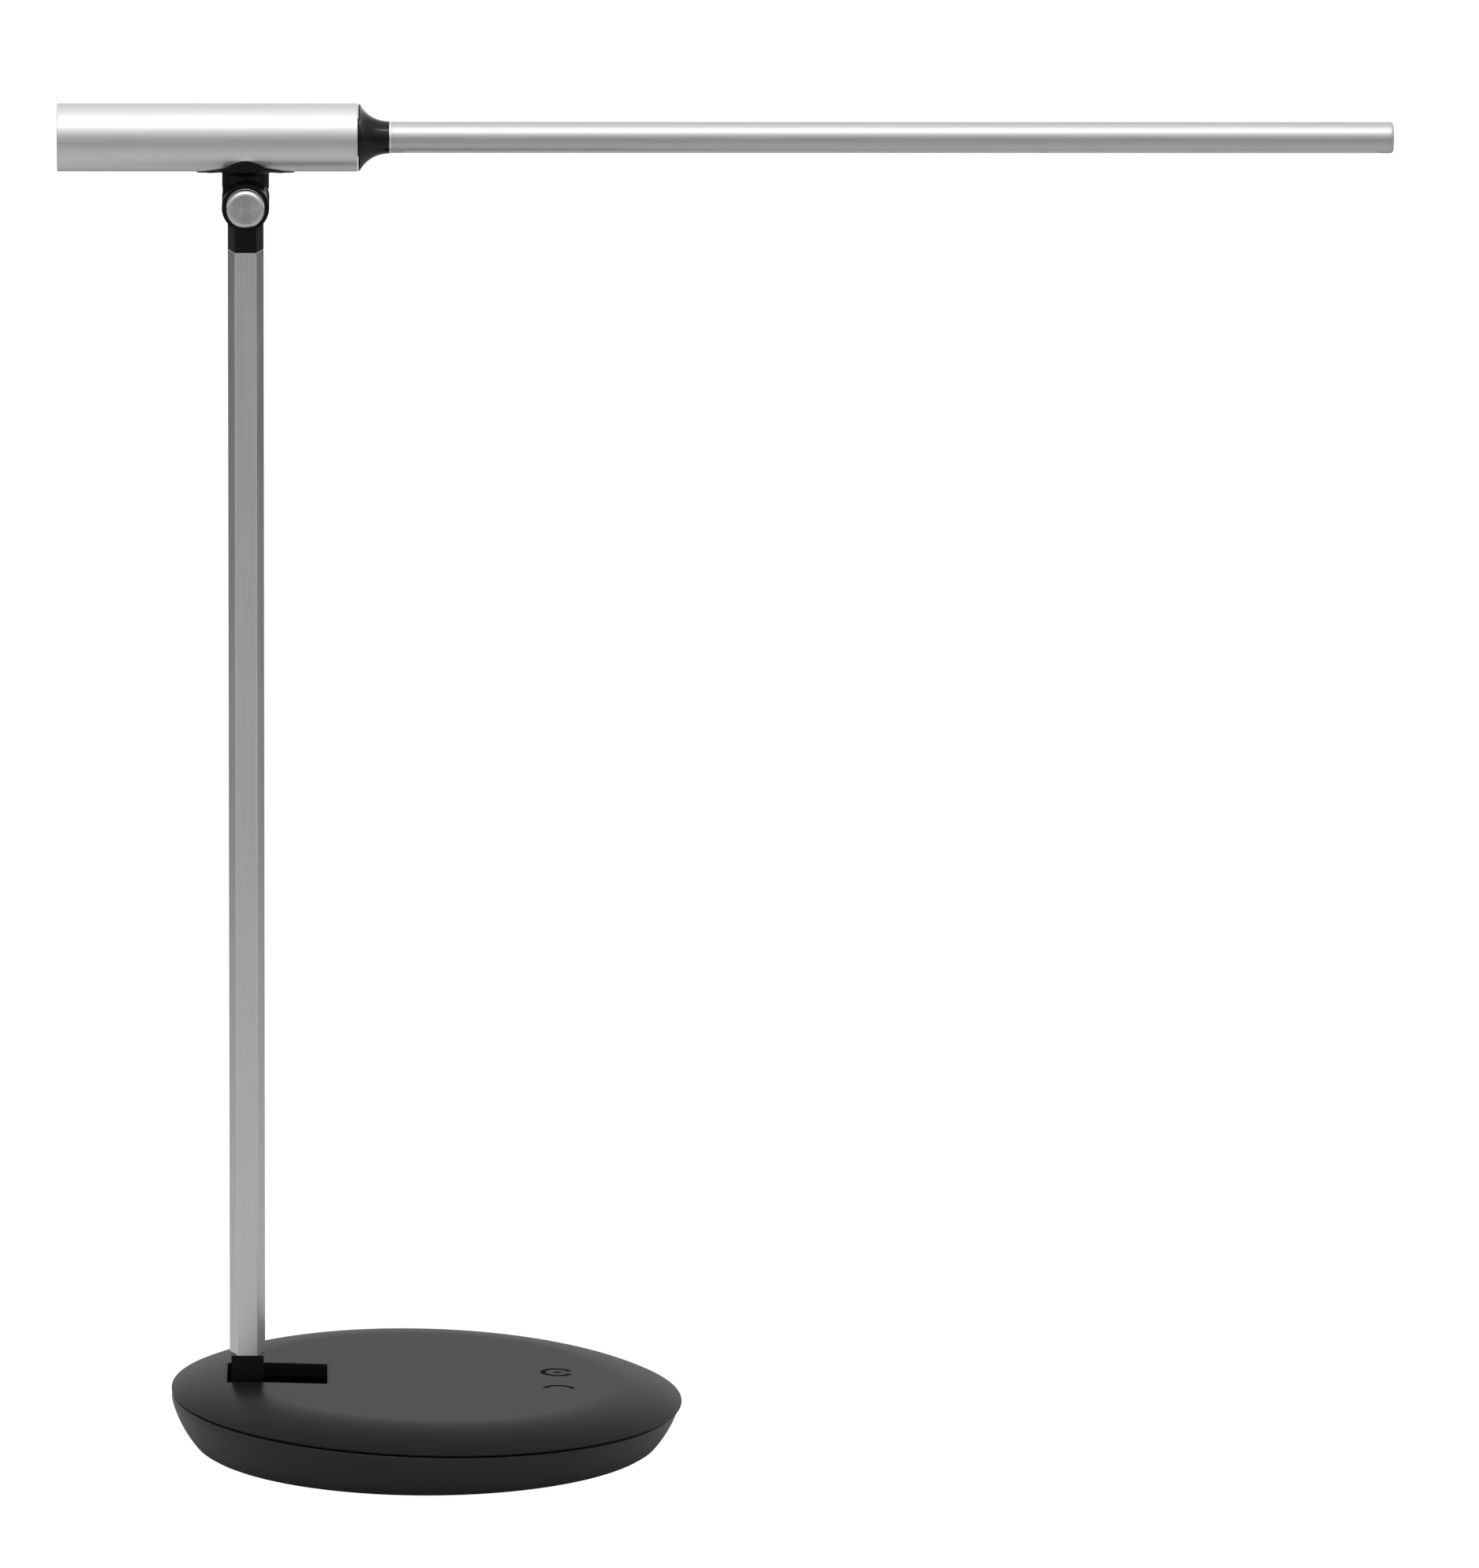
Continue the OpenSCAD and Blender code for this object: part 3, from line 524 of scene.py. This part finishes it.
def make_cover():
    """The domed top: flat in the middle, an arc to the rim, a locating lip and the slot."""
    wall, edge = 2.2 * MM, 0.35 * MM
    lip_r, lip_t, lip_h = RIM_R - 4.8 * MM, 1.4 * MM, 3 * MM
    centre = (FLAT_R, DOME_H - DOME_R)
    end_angle = math.degrees(math.asin((RIM_R - FLAT_R) / DOME_R))
    outer = arc(centre, DOME_R, 90, 90 - end_angle, 40)
    inner_r = DOME_R - wall
    inner_end = math.degrees(math.asin((lip_r - lip_t - FLAT_R) / inner_r))
    inner = arc(centre, inner_r, 90 - inner_end, 90, 24)
    rim = [(RIM_R, edge), (RIM_R - 0.3 * edge, 0.3 * edge), (RIM_R - edge, 0)]
    under = [(RIM_R - wall, 0), (lip_r, 0.1 * MM), (lip_r, -lip_h), (lip_r - lip_t, -lip_h)]
    flat_radii = (0, 20, 40, 55)
    top = [(r * MM, DOME_H) for r in flat_radii]
    top_under = [(r * MM, DOME_H - wall) for r in reversed(flat_radii)]
    cover = lathe(
        "cover_shell", top + outer + rim + under + inner + top_under,
        origin=(0, 0, RIM_H), steps=256, lean=TOP_SLOPE,
    )
    slot = prism(
        "slot_cutter",
        rounded_rectangle(SLOT_X0 - LINER_T, SLOT_X1 + LINER_T, SLOT_W + 2 * LINER_T, 2.0 * MM),
        -12 * MM, 30 * MM,
    )
    slot.data.transform(Matrix.Translation((0, 0, RIM_H)) @ Matrix.Rotation(TOP_SLOPE, 4, "Y"))
    cut(cover, slot)
    finish_piece(cover, shell_paint, "base", "base_shell", "base_cover")


def divided(outline, longest, parts):
    """The outline with every side that is longer than longest divided into equal parts."""
    dense = []
    for (x0, y0), (x1, y1) in zip(outline, outline[1:] + outline[:1]):
        count = parts if math.hypot(x1 - x0, y1 - y0) > longest else 1
        dense += [(x0 + (x1 - x0) * k / count, y0 + (y1 - y0) * k / count) for k in range(count)]
    return dense


def make_liner():
    """The slot's edging: a rounded frame whose top follows the cover's dome."""
    depth, round_r, inset, corner_r = 5 * MM, 0.35 * MM, 0.06 * MM, 1.2 * MM
    section = [(inset, -depth), (inset, -round_r)]
    section += arc((inset + round_r, -round_r), round_r, 165, 90, 5)
    section += [(LINER_T - 0.22 * MM, 0), (LINER_T - 0.08 * MM, -0.08 * MM), (LINER_T - 0.05 * MM, -depth)]
    points = []
    for offset, height in section:
        outline = rounded_rectangle(
            SLOT_X0 - offset, SLOT_X1 + offset, SLOT_W + 2 * offset, corner_r + offset
        )
        dense = divided(outline, 3.75 * MM, 24)
        points += [on_rim(x, y, dome_height(math.hypot(x, y)) + height) for x, y in dense]
    liner = mesh_object("slot_edging", points, band_faces(len(section), len(dense)))
    finish_piece(liner, shell_paint, "base", "black_plastic", "slot_liner")


def make_tray():
    """The bowl: a turned wall whose top is cut off along the leaning rim, with the inlet's block."""
    base_z, base_r, bowl_z, full_r = 1 * MM, 85.1 * MM, 28 * MM, 95.2 * MM
    wall, floor_z, steps, levels = 2.4 * MM, 4.2 * MM, 256, 26
    recess_r, recess_z = 80.2 * MM, 2.2 * MM
    foot_round, top_round, limit = 0.8 * MM, 0.35 * MM, RIM_R - 0.15 * MM
    # The wall's arc goes through base_r at the table and full_r at the rim; its middle is at bowl_z
    bowl_x = (full_r**2 - base_r**2 + (bowl_z - RIM_H) ** 2 - bowl_z**2) / (2 * (full_r - base_r))
    bowl_r = math.hypot(base_r - bowl_x, bowl_z)

    def radius_at(z, inset=0.0):
        return bowl_x + math.sqrt((bowl_r - inset) ** 2 - (bowl_z - z) ** 2)

    def wall_ring(top):
        """The section (radius, height) where the wall's top is at that height."""
        ring = [(0, recess_z), (recess_r, recess_z), (recess_r, base_z)]
        ring += arc((radius_at(base_z) - foot_round, base_z + foot_round), foot_round, -90, -22.5, 3)
        low, high = base_z + foot_round, top - top_round
        heights = [low + (high - low) * i / levels for i in range(levels + 1)]
        ring += [(min(radius_at(z), limit), z) for z in heights]
        edge_r = ring[-1][0]
        ring += arc((edge_r - top_round, top - top_round), top_round, 30, 90, 2)
        ring.append((edge_r - wall, top))
        heights = [floor_z + (top - floor_z) * i / levels * 0.98 for i in range(levels, -1, -2)]
        ring += [(min(radius_at(z, wall), edge_r - wall), z) for z in heights]
        return ring + [(0, floor_z)]

    points, faces = [], []
    for k in range(steps):
        a = math.tau * k / steps
        ring = wall_ring(RIM_H - RIM_GAP - math.tan(TOP_SLOPE) * RIM_R * math.cos(a))
        points += [(r * math.cos(a), r * math.sin(a), z) for r, z in ring]
    count = len(ring)
    for k in range(steps):
        n = (k + 1) % steps
        for i in range(count - 1):
            faces.append((k * count + i, n * count + i, n * count + i + 1, k * count + i + 1))
    tray = mesh_object("tray_shell", points, faces)
    weld(tray.data, ON_AXIS)

    inlet_x, _, inlet_z = mount_at["dc_inlet"]
    face_x, thick, half, block_top = inlet_x - 0.2 * MM, 3 * MM, 8 * MM, 15.6 * MM
    corners = [(face_x, -half), (face_x + thick, -half), (face_x + thick, half), (face_x, half)]
    block = prism("inlet_block", corners, floor_z - 0.5 * MM, block_top)
    combine(tray, "UNION", [block])
    recess = rod("recess", 5.2 * MM, (-RIM_R - 2 * MM, 0, inlet_z), (face_x, 0, inlet_z))
    hole = rod("hole", 4.1 * MM, (-RIM_R, 0, inlet_z), (face_x + 14 * MM, 0, inlet_z))
    cut(tray, recess, hole)
    finish_piece(tray, tray_paint, "base", "base_shell", "base_tray")


def make_pad():
    """The rubber foot: rounded rims and three grooves."""
    radius, height, round_r = pad_high.x, pad_high.z, 0.5 * MM
    groove_depth, groove_half, slope = 0.6 * MM, 0.8 * MM, 0.2 * MM
    outline = [(0, height), (radius, height)]
    outline += arc((radius - round_r, round_r), round_r, 0, -90, 4)
    for ring_r in (60 * MM, 40 * MM, 20 * MM):
        outer, inner = ring_r + groove_half, ring_r - groove_half
        outline += [(outer + slope, 0), (outer, slope), (outer, groove_depth)]
        outline += [(inner, groove_depth), (inner, slope), (inner - slope, 0)]
    outline.append((0, 0))
    pad = lathe("rubber_foot", outline)
    finish_piece(pad, pad_paint, "base", "pad", "foot_pad")


def strip(name, centre_line, width, height):
    """A flat printed line of even width that follows a centre line on the cover."""
    sunk = 0.05 * MM
    points, faces = [], []
    for i, (x, y) in enumerate(centre_line):
        here = Vector((x, y))
        before = Vector(centre_line[max(i - 1, 0)])
        after = Vector(centre_line[min(i + 1, len(centre_line) - 1)])
        side = (after - before).normalized().orthogonal() * (width / 2)
        for spot in (here + side, here - side):
            radius = math.hypot(spot.x, spot.y)
            points.append(on_rim(spot.x, spot.y, dome_height(radius) - sunk))
            points.append(on_rim(spot.x, spot.y, dome_height(radius) + height))
    for i in range(len(centre_line) - 1):
        a, b = 4 * i, 4 * (i + 1)
        faces += [(a + 1, a + 3, b + 3, b + 1), (a, b, b + 2, a + 2)]
        faces += [(a, a + 1, b + 1, b), (a + 2, b + 2, b + 3, a + 3)]
    last = 4 * (len(centre_line) - 1)
    faces += [(0, 2, 3, 1), (last, last + 1, last + 3, last + 2)]
    return mesh_object(name, points, faces)


def make_key_marks():
    """Two generic touch keys, printed on the cover: an open ring with a bar, and an arc."""
    line, proud = 1.9 * MM, 0.02 * MM
    ring_x, ring_y, ring_r = 48.5 * MM, 11.5 * MM, 5.2 * MM
    bow_x, bow_y, bow_r = 48.9 * MM, -14.5 * MM, 5.4 * MM
    ring = strip("key_ring", arc((ring_x, ring_y), ring_r, 20, 340, 64), line, proud)
    stem = strip("key_stem", [(ring_x + x * MM, ring_y) for x in (-1.2, 0.2, 1.6)], line, proud)
    bow = strip("key_arc", arc((bow_x, bow_y), bow_r, 14, 166, 40), line, proud)
    for mark in (ring, stem, bow):
        finish_piece(mark, ink_paint, "base", "key_mark")
    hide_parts("key_marks")


# ------------------------------------------------------------------- column


def column_outline(inset, round_r):
    """The extrusion's eight-sided section, with rounded corners."""
    x1 = (column_high.x - column_low.x) / 2 - inset
    y1 = (column_high.y - column_low.y) / 2 - inset
    x2 = 3.95 * MM - inset / 2
    y2 = y1 + inset - 8.3 * MM - inset / 4
    corners = [(x1, y2), (x2, y1), (-x2, y1), (-x1, y2), (-x1, -y2), (-x2, -y1), (x2, -y1), (x1, -y2)]
    outline = fillet([(x, y, round_r) for x, y in corners], 4)
    return [(x + COLUMN_X, y) for x, y in outline]


def make_column():
    """The hollow extrusion, with rounded corners, softened ends and the two screw holes."""
    sharp = 20
    outer = column_outline(0, 0.7 * MM)
    inner = column_outline(1.4 * MM, 0.4 * MM)
    z0, z1, edge = column_low.z, column_high.z, 0.15 * MM
    middle = Vector((COLUMN_X, 0))
    drawn_in = [tuple(Vector(p) - (Vector(p) - middle).normalized() * edge) for p in outer]
    loops = [(outer, z0 + edge), (drawn_in, z0), (inner, z0), (inner, z1)]
    loops += [(drawn_in, z1), (outer, z1 - edge)]
    points = [(x, y, z) for outline, z in loops for x, y in outline]
    column = mesh_object("column_extrusion", points, band_faces(len(loops), len(outer)), sharp)
    screws_low, screws_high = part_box("column_screws")
    screw_head_r, side = 1.5 * MM, column_high.y
    holes = [
        rod(f"hole_{i}", 1.6 * MM, (COLUMN_X, side - 4 * MM, z), (COLUMN_X, side + 1 * MM, z), 48)
        for i, z in enumerate((screws_low.z + screw_head_r, screws_high.z - screw_head_r))
    ]
    cut(column, *holes)
    smooth(column.data, sharp)
    finish_piece(column, column_paint, "column", "silver", "column_tube")


def make_knob():
    """The turned knob: a flat face with a broad rounded shoulder and a fine groove at its foot."""
    radius, height = (knob_high.x - knob_low.x) / 2, knob_high.y - knob_low.y
    shoulder, land, groove = 2.0 * MM, 1.2 * MM, 0.25 * MM
    bore_r, bore_depth = 4.4 * MM, 2.3 * MM
    face = [(0, height), (radius - shoulder - land, height)]
    corner = arc((radius - shoulder, height - shoulder), shoulder, 90, 0, 12)
    foot = [(radius, 0.9 * MM), (radius - groove, 0.7 * MM), (radius - groove, 0.3 * MM)]
    foot += [(radius, 0.15 * MM), (radius, 0)]
    bore = [(bore_r, 0), (bore_r, bore_depth), (0, bore_depth)]
    origin = (KNUCKLE.x, knob_high.y, KNUCKLE.z)
    knob = lathe("knob", face + corner + foot + bore, axis="-Y", origin=origin, steps=160)
    finish_piece(knob, knob_paint, "column", "knob_silver", "hinge_knob")


def make_back_cap():
    """The cap over the hinge's nut: a shallow dish with a rounded rim."""
    radius, height = (cap_high.x - cap_low.x) / 2, cap_high.y - cap_low.y
    round_r, chamfer, bore_r, bore_depth = 1.0 * MM, 0.2 * MM, 4.9 * MM, 5.3 * MM
    dish = [(0, height - 0.3 * MM), (3.2 * MM, height - 0.25 * MM), (4.8 * MM, height)]
    corner = arc((radius - round_r, height - round_r), round_r, 90, 0, 8)
    inside = [(radius, chamfer), (radius - chamfer, 0)]
    inside += [(bore_r, 0), (bore_r, bore_depth), (0, bore_depth)]
    origin = (KNUCKLE.x, cap_low.y, KNUCKLE.z)
    cap = lathe("back_cap", dish + corner + inside, axis="Y", origin=origin, steps=128)
    finish_piece(cap, plastic_black_paint, "column", "black_plastic", "hinge_back_cap")


# --------------------------------------------------------------------- head


def make_barrel():
    """The head's tube, with softened ends and the holes over the saddle."""
    length = barrel_high.x - barrel_low.x
    bore_r, edge, inner_edge = BARREL_R - 1.6 * MM, 0.35 * MM, 0.1 * MM
    outline = fillet([
        (bore_r, 0, inner_edge), (BARREL_R, 0, edge),
        (BARREL_R, length, edge), (bore_r, length, inner_edge),
    ])
    barrel = lathe("barrel_tube", outline, axis="X", origin=(barrel_low.x, 0, BAR_Z), steps=190)
    screw_x, screw_r, wire_r = 12.6 * MM, 2.4 * MM, 3.4 * MM
    below, above = BAR_Z - BARREL_R - 1 * MM, BAR_Z - BARREL_R + 7 * MM
    cutters = [rod("wire_hole", wire_r, (COLUMN_X, 0, below), (COLUMN_X, 0, above), 64)]
    for x in (COLUMN_X - screw_x, COLUMN_X + screw_x):
        cutters.append(rod("screw_hole", screw_r, (x, 0, below), (x, 0, above), 48))
    cut(barrel, *cutters)
    finish_piece(barrel, barrel_paint, "head", "silver", "barrel")


def make_barrel_cap():
    """The closed end: a plug with a shallow turned dish."""
    low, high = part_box("barrel_end_cap")
    radius, length = (high.z - low.z) / 2, high.x - low.x
    chamfer, dish, web = 0.45 * MM, 0.35 * MM, 2.2 * MM
    bore_r = radius - 1.7 * MM
    face = [(0, dish), (radius - 2.4 * MM, dish), (radius - 1.6 * MM, 0), (radius - chamfer, 0)]
    body = [(radius, chamfer), (radius, length), (bore_r, length), (bore_r, web), (0, web)]
    plug = lathe("barrel_plug", face + body, axis="X", origin=(low.x, 0, BAR_Z), steps=160)
    finish_piece(plug, end_paint, "head", "silver", "barrel_end_cap")


def make_cone():
    """The grip cone: a hollow curve with fine turned rings on its wide end."""
    length, wide, nose, arc_r, land = 11.2 * MM, 12.3 * MM, 5.95 * MM, 12.2 * MM, 0.7 * MM
    pitch, depth, ringed, steps = 0.62 * MM, 0.055 * MM, 7.4 * MM, 108
    curve = []
    for k in range(steps + 1):
        x = land + (length - land) * k / steps
        r = nose + arc_r - math.sqrt(max(arc_r**2 - (length - x) ** 2, 0))
        if x < ringed:
            r -= depth * 0.5 * (1 - math.cos(math.tau * (x - land) / pitch))
        curve.append((r, x))
    wide_edge = [(wide - 0.25 * MM, 0), (wide, 0.2 * MM), (wide, land - 0.1 * MM)]
    nose_edge = [(nose - 0.02 * MM, length - 0.1 * MM), (nose - 0.15 * MM, length)]
    socket_r, socket_x, wire_r = 4.75 * MM, 6.2 * MM, 2.6 * MM
    spigot_r, spigot_x, chamfer = 7 * MM, -17 * MM, 0.4 * MM
    groove_r, groove_x0, groove_x1 = 6 * MM, -16 * MM, -14.9 * MM
    bore = [(socket_r, length), (socket_r, socket_x), (wire_r, socket_x), (wire_r, spigot_x)]
    spigot = [(spigot_r - chamfer, spigot_x), (spigot_r, spigot_x + chamfer), (spigot_r, groove_x0)]
    spigot += [(groove_r, groove_x0), (groove_r, groove_x1), (spigot_r, groove_x1), (spigot_r, 0)]
    outline = wide_edge + curve + nose_edge + bore + spigot
    cone = lathe("grip_cone", outline, axis="X", origin=(cone_high.x - length, 0, BAR_Z))
    finish_piece(cone, cone_paint, "light_bar", "black_plastic", "bar_cone")


def make_root_ring():
    """The bright ring between the cone and the tube."""
    radius, width = (ring_high.z - ring_low.z) / 2, ring_high.x - ring_low.x
    bore_r, edge = 4.5 * MM, 0.25 * MM
    outline = fillet([(bore_r, 0, 0), (radius, 0, edge), (radius, width, edge), (bore_r, width, 0)])
    ring = lathe("light_ring", outline, axis="X", origin=(ring_low.x, 0, BAR_Z), steps=128)
    finish_piece(ring, ring_paint, "light_bar", "knob_silver", "root_ring")


TUBE_WALL = 0.9 * MM


def make_tube():
    """The light tube, with the diffuser's window along its underside."""
    length, bore_r, chamfer = tube_high.x - tube_low.x, TUBE_R - TUBE_WALL, 0.1 * MM
    outline = [(bore_r, 0), (TUBE_R - chamfer, 0), (TUBE_R, chamfer), (TUBE_R, length), (bore_r, length)]
    tube = lathe("tube_shell", outline, axis="X", origin=(tube_low.x, 0, BAR_Z), steps=160)
    end_land, window_w, corner_r = 4 * MM, 7 * MM, 0.8 * MM
    window = prism(
        "window",
        rounded_rectangle(tube_low.x + end_land, tube_high.x - end_land, window_w, corner_r, 6),
        BAR_Z - TUBE_R - 1 * MM, BAR_Z - TUBE_R + 3 * MM,
    )
    cut(tube, window)
    finish_piece(tube, tube_paint, "light_bar", "silver", "light_tube")


def make_diffuser():
    """The opal strip: it fills the window and follows the tube's round, with softened edges."""
    end_land, soft, steps = 4.1 * MM, 0.12 * MM, 24
    x0, x1 = tube_low.x + end_land, tube_high.x - end_land
    inner_r, half = TUBE_R - TUBE_WALL, math.asin(3.44 * MM / TUBE_R)
    inner_half = half * TUBE_R / inner_r * 0.98
    section = []
    for k in range(steps + 1):
        a = half * (2 * k / steps - 1)
        radius = TUBE_R - soft if k in (0, steps) else TUBE_R
        section.append((radius * math.sin(a), -radius * math.cos(a)))
    for k in range(steps, -1, -1):
        a = inner_half * (2 * k / steps - 1)
        section.append((inner_r * math.sin(a), -inner_r * math.cos(a)))
    between = [x0 + (x1 - x0) * k / steps for k in range(1, steps)]
    stations = [x0, x0 + soft, *between, x1 - soft, x1]
    count = len(section)
    points = [(x, y, BAR_Z + z) for x in stations for y, z in section]
    faces = band_faces(len(stations), count, closed=False)
    faces += [tuple(range(count)), tuple(range(len(points) - count, len(points)))]
    opal_strip = mesh_object("opal_strip", points, faces)
    finish_piece(opal_strip, opal_paint, "light_bar", "diffuser", "diffuser")


def make_tube_cap():
    """The tube's rounded end cap, with a fine seam and a plug inside the tube."""
    length, round_r, seam = end_high.x - tube_high.x, 1.1 * MM, 0.08 * MM
    plug_r, plug_x = TUBE_R - 0.95 * MM, -2.5 * MM
    edge = [(plug_r, plug_x), (plug_r, 0), (TUBE_R - seam, 0), (TUBE_R, seam), (TUBE_R, length - round_r)]
    corner = arc((TUBE_R - round_r, length - round_r), round_r, 0, 90, 10)
    outline = [(0, plug_x), *edge, *corner[1:], (0, length)]
    cap = lathe("tube_cap", outline, axis="X", origin=(tube_high.x, 0, BAR_Z), steps=160)
    finish_piece(cap, tube_paint, "light_bar", "silver", "tube_end_cap")


make_cover()
make_liner()
make_tray()
make_pad()
make_key_marks()
make_column()
make_knob()
make_back_cap()
make_barrel()
make_barrel_cap()
make_cone()
make_root_ring()
make_tube()
make_diffuser()
make_tube_cap()

# Machined and cast parts keep the CAD's shape, with their edges rounded by a width in millimetres
SOFTENED = {
    "column_foot": (0.35, casting_paint, "column", "black_metal"),
    "column_head": (0.35, casting_paint, "column", "black_metal"),
    "yoke": (0.3, casting_paint, "head", "black_metal"),
    "dc_jack": (0.2, plastic_black_paint, "base", "black_plastic"),
    "column_screws": (0.12, steel_paint, "column", "steel"),
    "saddle_screws": (0.1, steel_paint, "head", "steel"),
    "hinge_bracket": (0.25, steel_black_paint, "base", "black_steel"),
    "bracket_screws": (0.2, steel_paint, "base", "steel"),
    "foot_hinge_nut": (0.25, steel_paint, "base", "steel"),
    "foot_hinge_pin": (0.3, steel_black_paint, "base", "black_steel"),
    "hinge_nut": (0.25, steel_paint, "column", "steel"),
    "weight_plate": (0.6, iron_paint, "base", "iron"),
}
for node, (width, paint, body, slot) in SOFTENED.items():
    softened = cad_copy(node)
    soften(softened, width * MM)
    finish_piece(softened, paint, body, slot, node)

# The other nodes are kept as they are, with a finished material
KEPT = {
    "base_screws": steel_paint,
    "foot_friction_washers": brass_paint,
    "touch_board": green_paint,
    "touch_pads": pad_paint,
    "touch_board_screws": steel_paint,
    "dc_jack_pin": steel_paint,
    "column_wire": pad_paint,
    "hinge_bolt": steel_paint,
    "hinge_friction_washers": brass_paint,
    "hinge_spring_washer": steel_paint,
    "saddle_plate": plastic_black_paint,
    "saddle_nut_plate": steel_paint,
    "driver_board": green_paint,
    "driver_parts": plastic_black_paint,
    "roll_bush": bush_paint,
    "roll_clip": steel_paint,
    "led_board": white_paint,
    "led_chips": led_paint,
}
for node, paint in KEPT.items():
    for place in frame["nodes"][node].material_slots:
        place.material = paint

# ------------------------------------------------------------ stage and light


def ramp(tree, value, stops):
    """A grey that follows value through stops of (value, level)."""
    found = tree.nodes.new("ShaderNodeValToRGB")
    elements = found.color_ramp.elements
    for at, _ in stops[2:]:
        elements.new(at)
    for element, (at, level) in zip(elements, stops):
        element.position = at
        element.color = (level, level, level, 1)
    tree.links.new(value, found.inputs["Fac"])
    return found.outputs[0]


# The floor's painted light: its tone is brightest around the lamp and darker towards both sides, a painted pool of
# light that the lamp's parts reflect. It runs from the camera's side (0 at y = -3 m) to the far side (1 at y = 3
# m)
FLOOR_PAINTED_LIGHT = [(0.0, 0.30), (0.17, 0.35), (0.3, 0.37), (0.37, 0.42), (0.42, 0.52), (0.5, 0.54),
               (0.58, 0.38), (0.67, 0.21), (0.75, 0.13), (0.85, 0.11)]


def make_floor():
    """A plain pale floor. The camera sees it as an even white, as in a cut-out studio picture; in reflections it
    shows a painted pool of light around the lamp.
    """
    half, level = 12.0, -0.1 * MM
    corners = [(-half, -half, level), (half, -half, level), (half, half, level), (-half, half, level)]
    mesh = bpy.data.meshes.new("floor")
    mesh.from_pydata(corners, [], [(0, 1, 2, 3)])
    floor = new_object("floor", mesh)
    paint = Paint("floor_white", Roughness=0.9, Specular_IOR_Level=0.0)
    split = paint.add("ShaderNodeSeparateXYZ", {0: paint.place})
    reach = paint.spread(split.outputs["Y"], 0.0, 1.0, -3.0, 3.0)
    # Painted pool of light: the floor's colour is brightest around the lamp and darker away from it
    paint.set("Base Color", ramp(paint.material.node_tree, reach, FLOOR_PAINTED_LIGHT))
    white = paint.add("ShaderNodeEmission", {"Color": (1, 1, 1, 1), "Strength": 1.05})
    ray = paint.add("ShaderNodeLightPath")
    inputs = {0: ray.outputs["Is Camera Ray"], 1: 0.95}
    share = paint.add("ShaderNodeMath", inputs, operation="MULTIPLY")
    mix = paint.add(
        "ShaderNodeMixShader",
        {0: share.outputs[0], 1: paint.shader.outputs[0], 2: white.outputs[0]},
    )
    paint.links.new(mix.outputs[0], paint.nodes["Material Output"].inputs["Surface"])
    mesh.materials.append(paint.material)


def softbox(name, place, target, width, height, power):
    """A rectangular studio light of that power in watts, turned towards target."""
    lamp = bpy.data.lights.new(name, "AREA")
    lamp.shape = "RECTANGLE"
    lamp.size = width
    lamp.size_y = height
    lamp.energy = power
    box = new_object(name, lamp)
    box.location = place
    box.rotation_euler = (Vector(target) - Vector(place)).to_track_quat("-Z", "Y").to_euler()
    box.visible_camera = False


# Brightness of the surroundings by the direction's height, from 0 (level) to 1 (straight up),
# on the camera's side and behind the lamp
FRONT_SKY = [(0.0, 0.32), (0.2, 0.45), (0.375, 0.67), (0.545, 0.9), (0.695, 1.05), (0.9, 1.1)]
BACK_SKY = [(0.0, 0.9), (0.25, 0.82), (0.6, 0.75), (0.85, 0.92), (0.96, 1.05), (1.0, 1.1)]


def make_world():
    """Soft studio surroundings: bright above and behind, dimmer low on the camera's side."""
    world = bpy.data.worlds.new("studio")
    world.use_nodes = True
    nodes, links = world.node_tree.nodes, world.node_tree.links
    place = nodes.new("ShaderNodeTexCoord")
    split = nodes.new("ShaderNodeSeparateXYZ")
    links.new(place.outputs["Generated"], split.inputs[0])
    front = ramp(world.node_tree, split.outputs["Z"], FRONT_SKY)
    back = ramp(world.node_tree, split.outputs["Z"], BACK_SKY)
    side = nodes.new("ShaderNodeMapRange")
    side.inputs["From Min"].default_value = -0.35
    side.inputs["From Max"].default_value = 0.35
    links.new(split.outputs["Y"], side.inputs["Value"])
    blend = nodes.new("ShaderNodeMix")
    links.new(side.outputs[0], blend.inputs["Factor"])
    links.new(front, blend.inputs["A"])
    links.new(back, blend.inputs["B"])
    ray = nodes.new("ShaderNodeLightPath")
    seen = nodes.new("ShaderNodeMath")
    seen.operation = "MAXIMUM"
    links.new(ray.outputs["Is Camera Ray"], seen.inputs[0])
    links.new(blend.outputs["Result"], seen.inputs[1])
    nodes["Background"].inputs["Color"].default_value = (1, 1, 1, 1)
    links.new(seen.outputs[0], nodes["Background"].inputs["Strength"])
    bpy.context.scene.world = world


def make_camera():
    """Far away and almost level, as the object is seen: nearly no perspective."""
    aim, distance, focal_mm = Vector((0.1170, 0.0469, 0.2411)), 5.894, 362.2
    down, yaw, roll = math.radians(11.751), math.radians(-1.579), math.radians(0.275)
    lens = bpy.data.cameras.new("camera")
    lens.lens = focal_mm
    lens.clip_start = 0.5
    lens.clip_end = 100
    camera = new_object("camera", lens)
    tilt = Matrix.Rotation(math.pi / 2 - down, 3, "X")
    turn = Matrix.Rotation(yaw, 3, "Z") @ tilt @ Matrix.Rotation(roll, 3, "Z")
    camera.location = aim + turn @ Vector((0, 0, distance))
    camera.rotation_euler = turn.to_euler()
    bpy.context.scene.camera = camera


make_floor()
make_world()
softbox("strip", (0.0, -0.9, 2.2), (0.0, 0.0, 0.49), 2.2, 0.4, 12)
make_camera()
bpy.context.scene.view_settings.view_transform = "Standard"
bpy.context.scene.view_settings.look = "None"
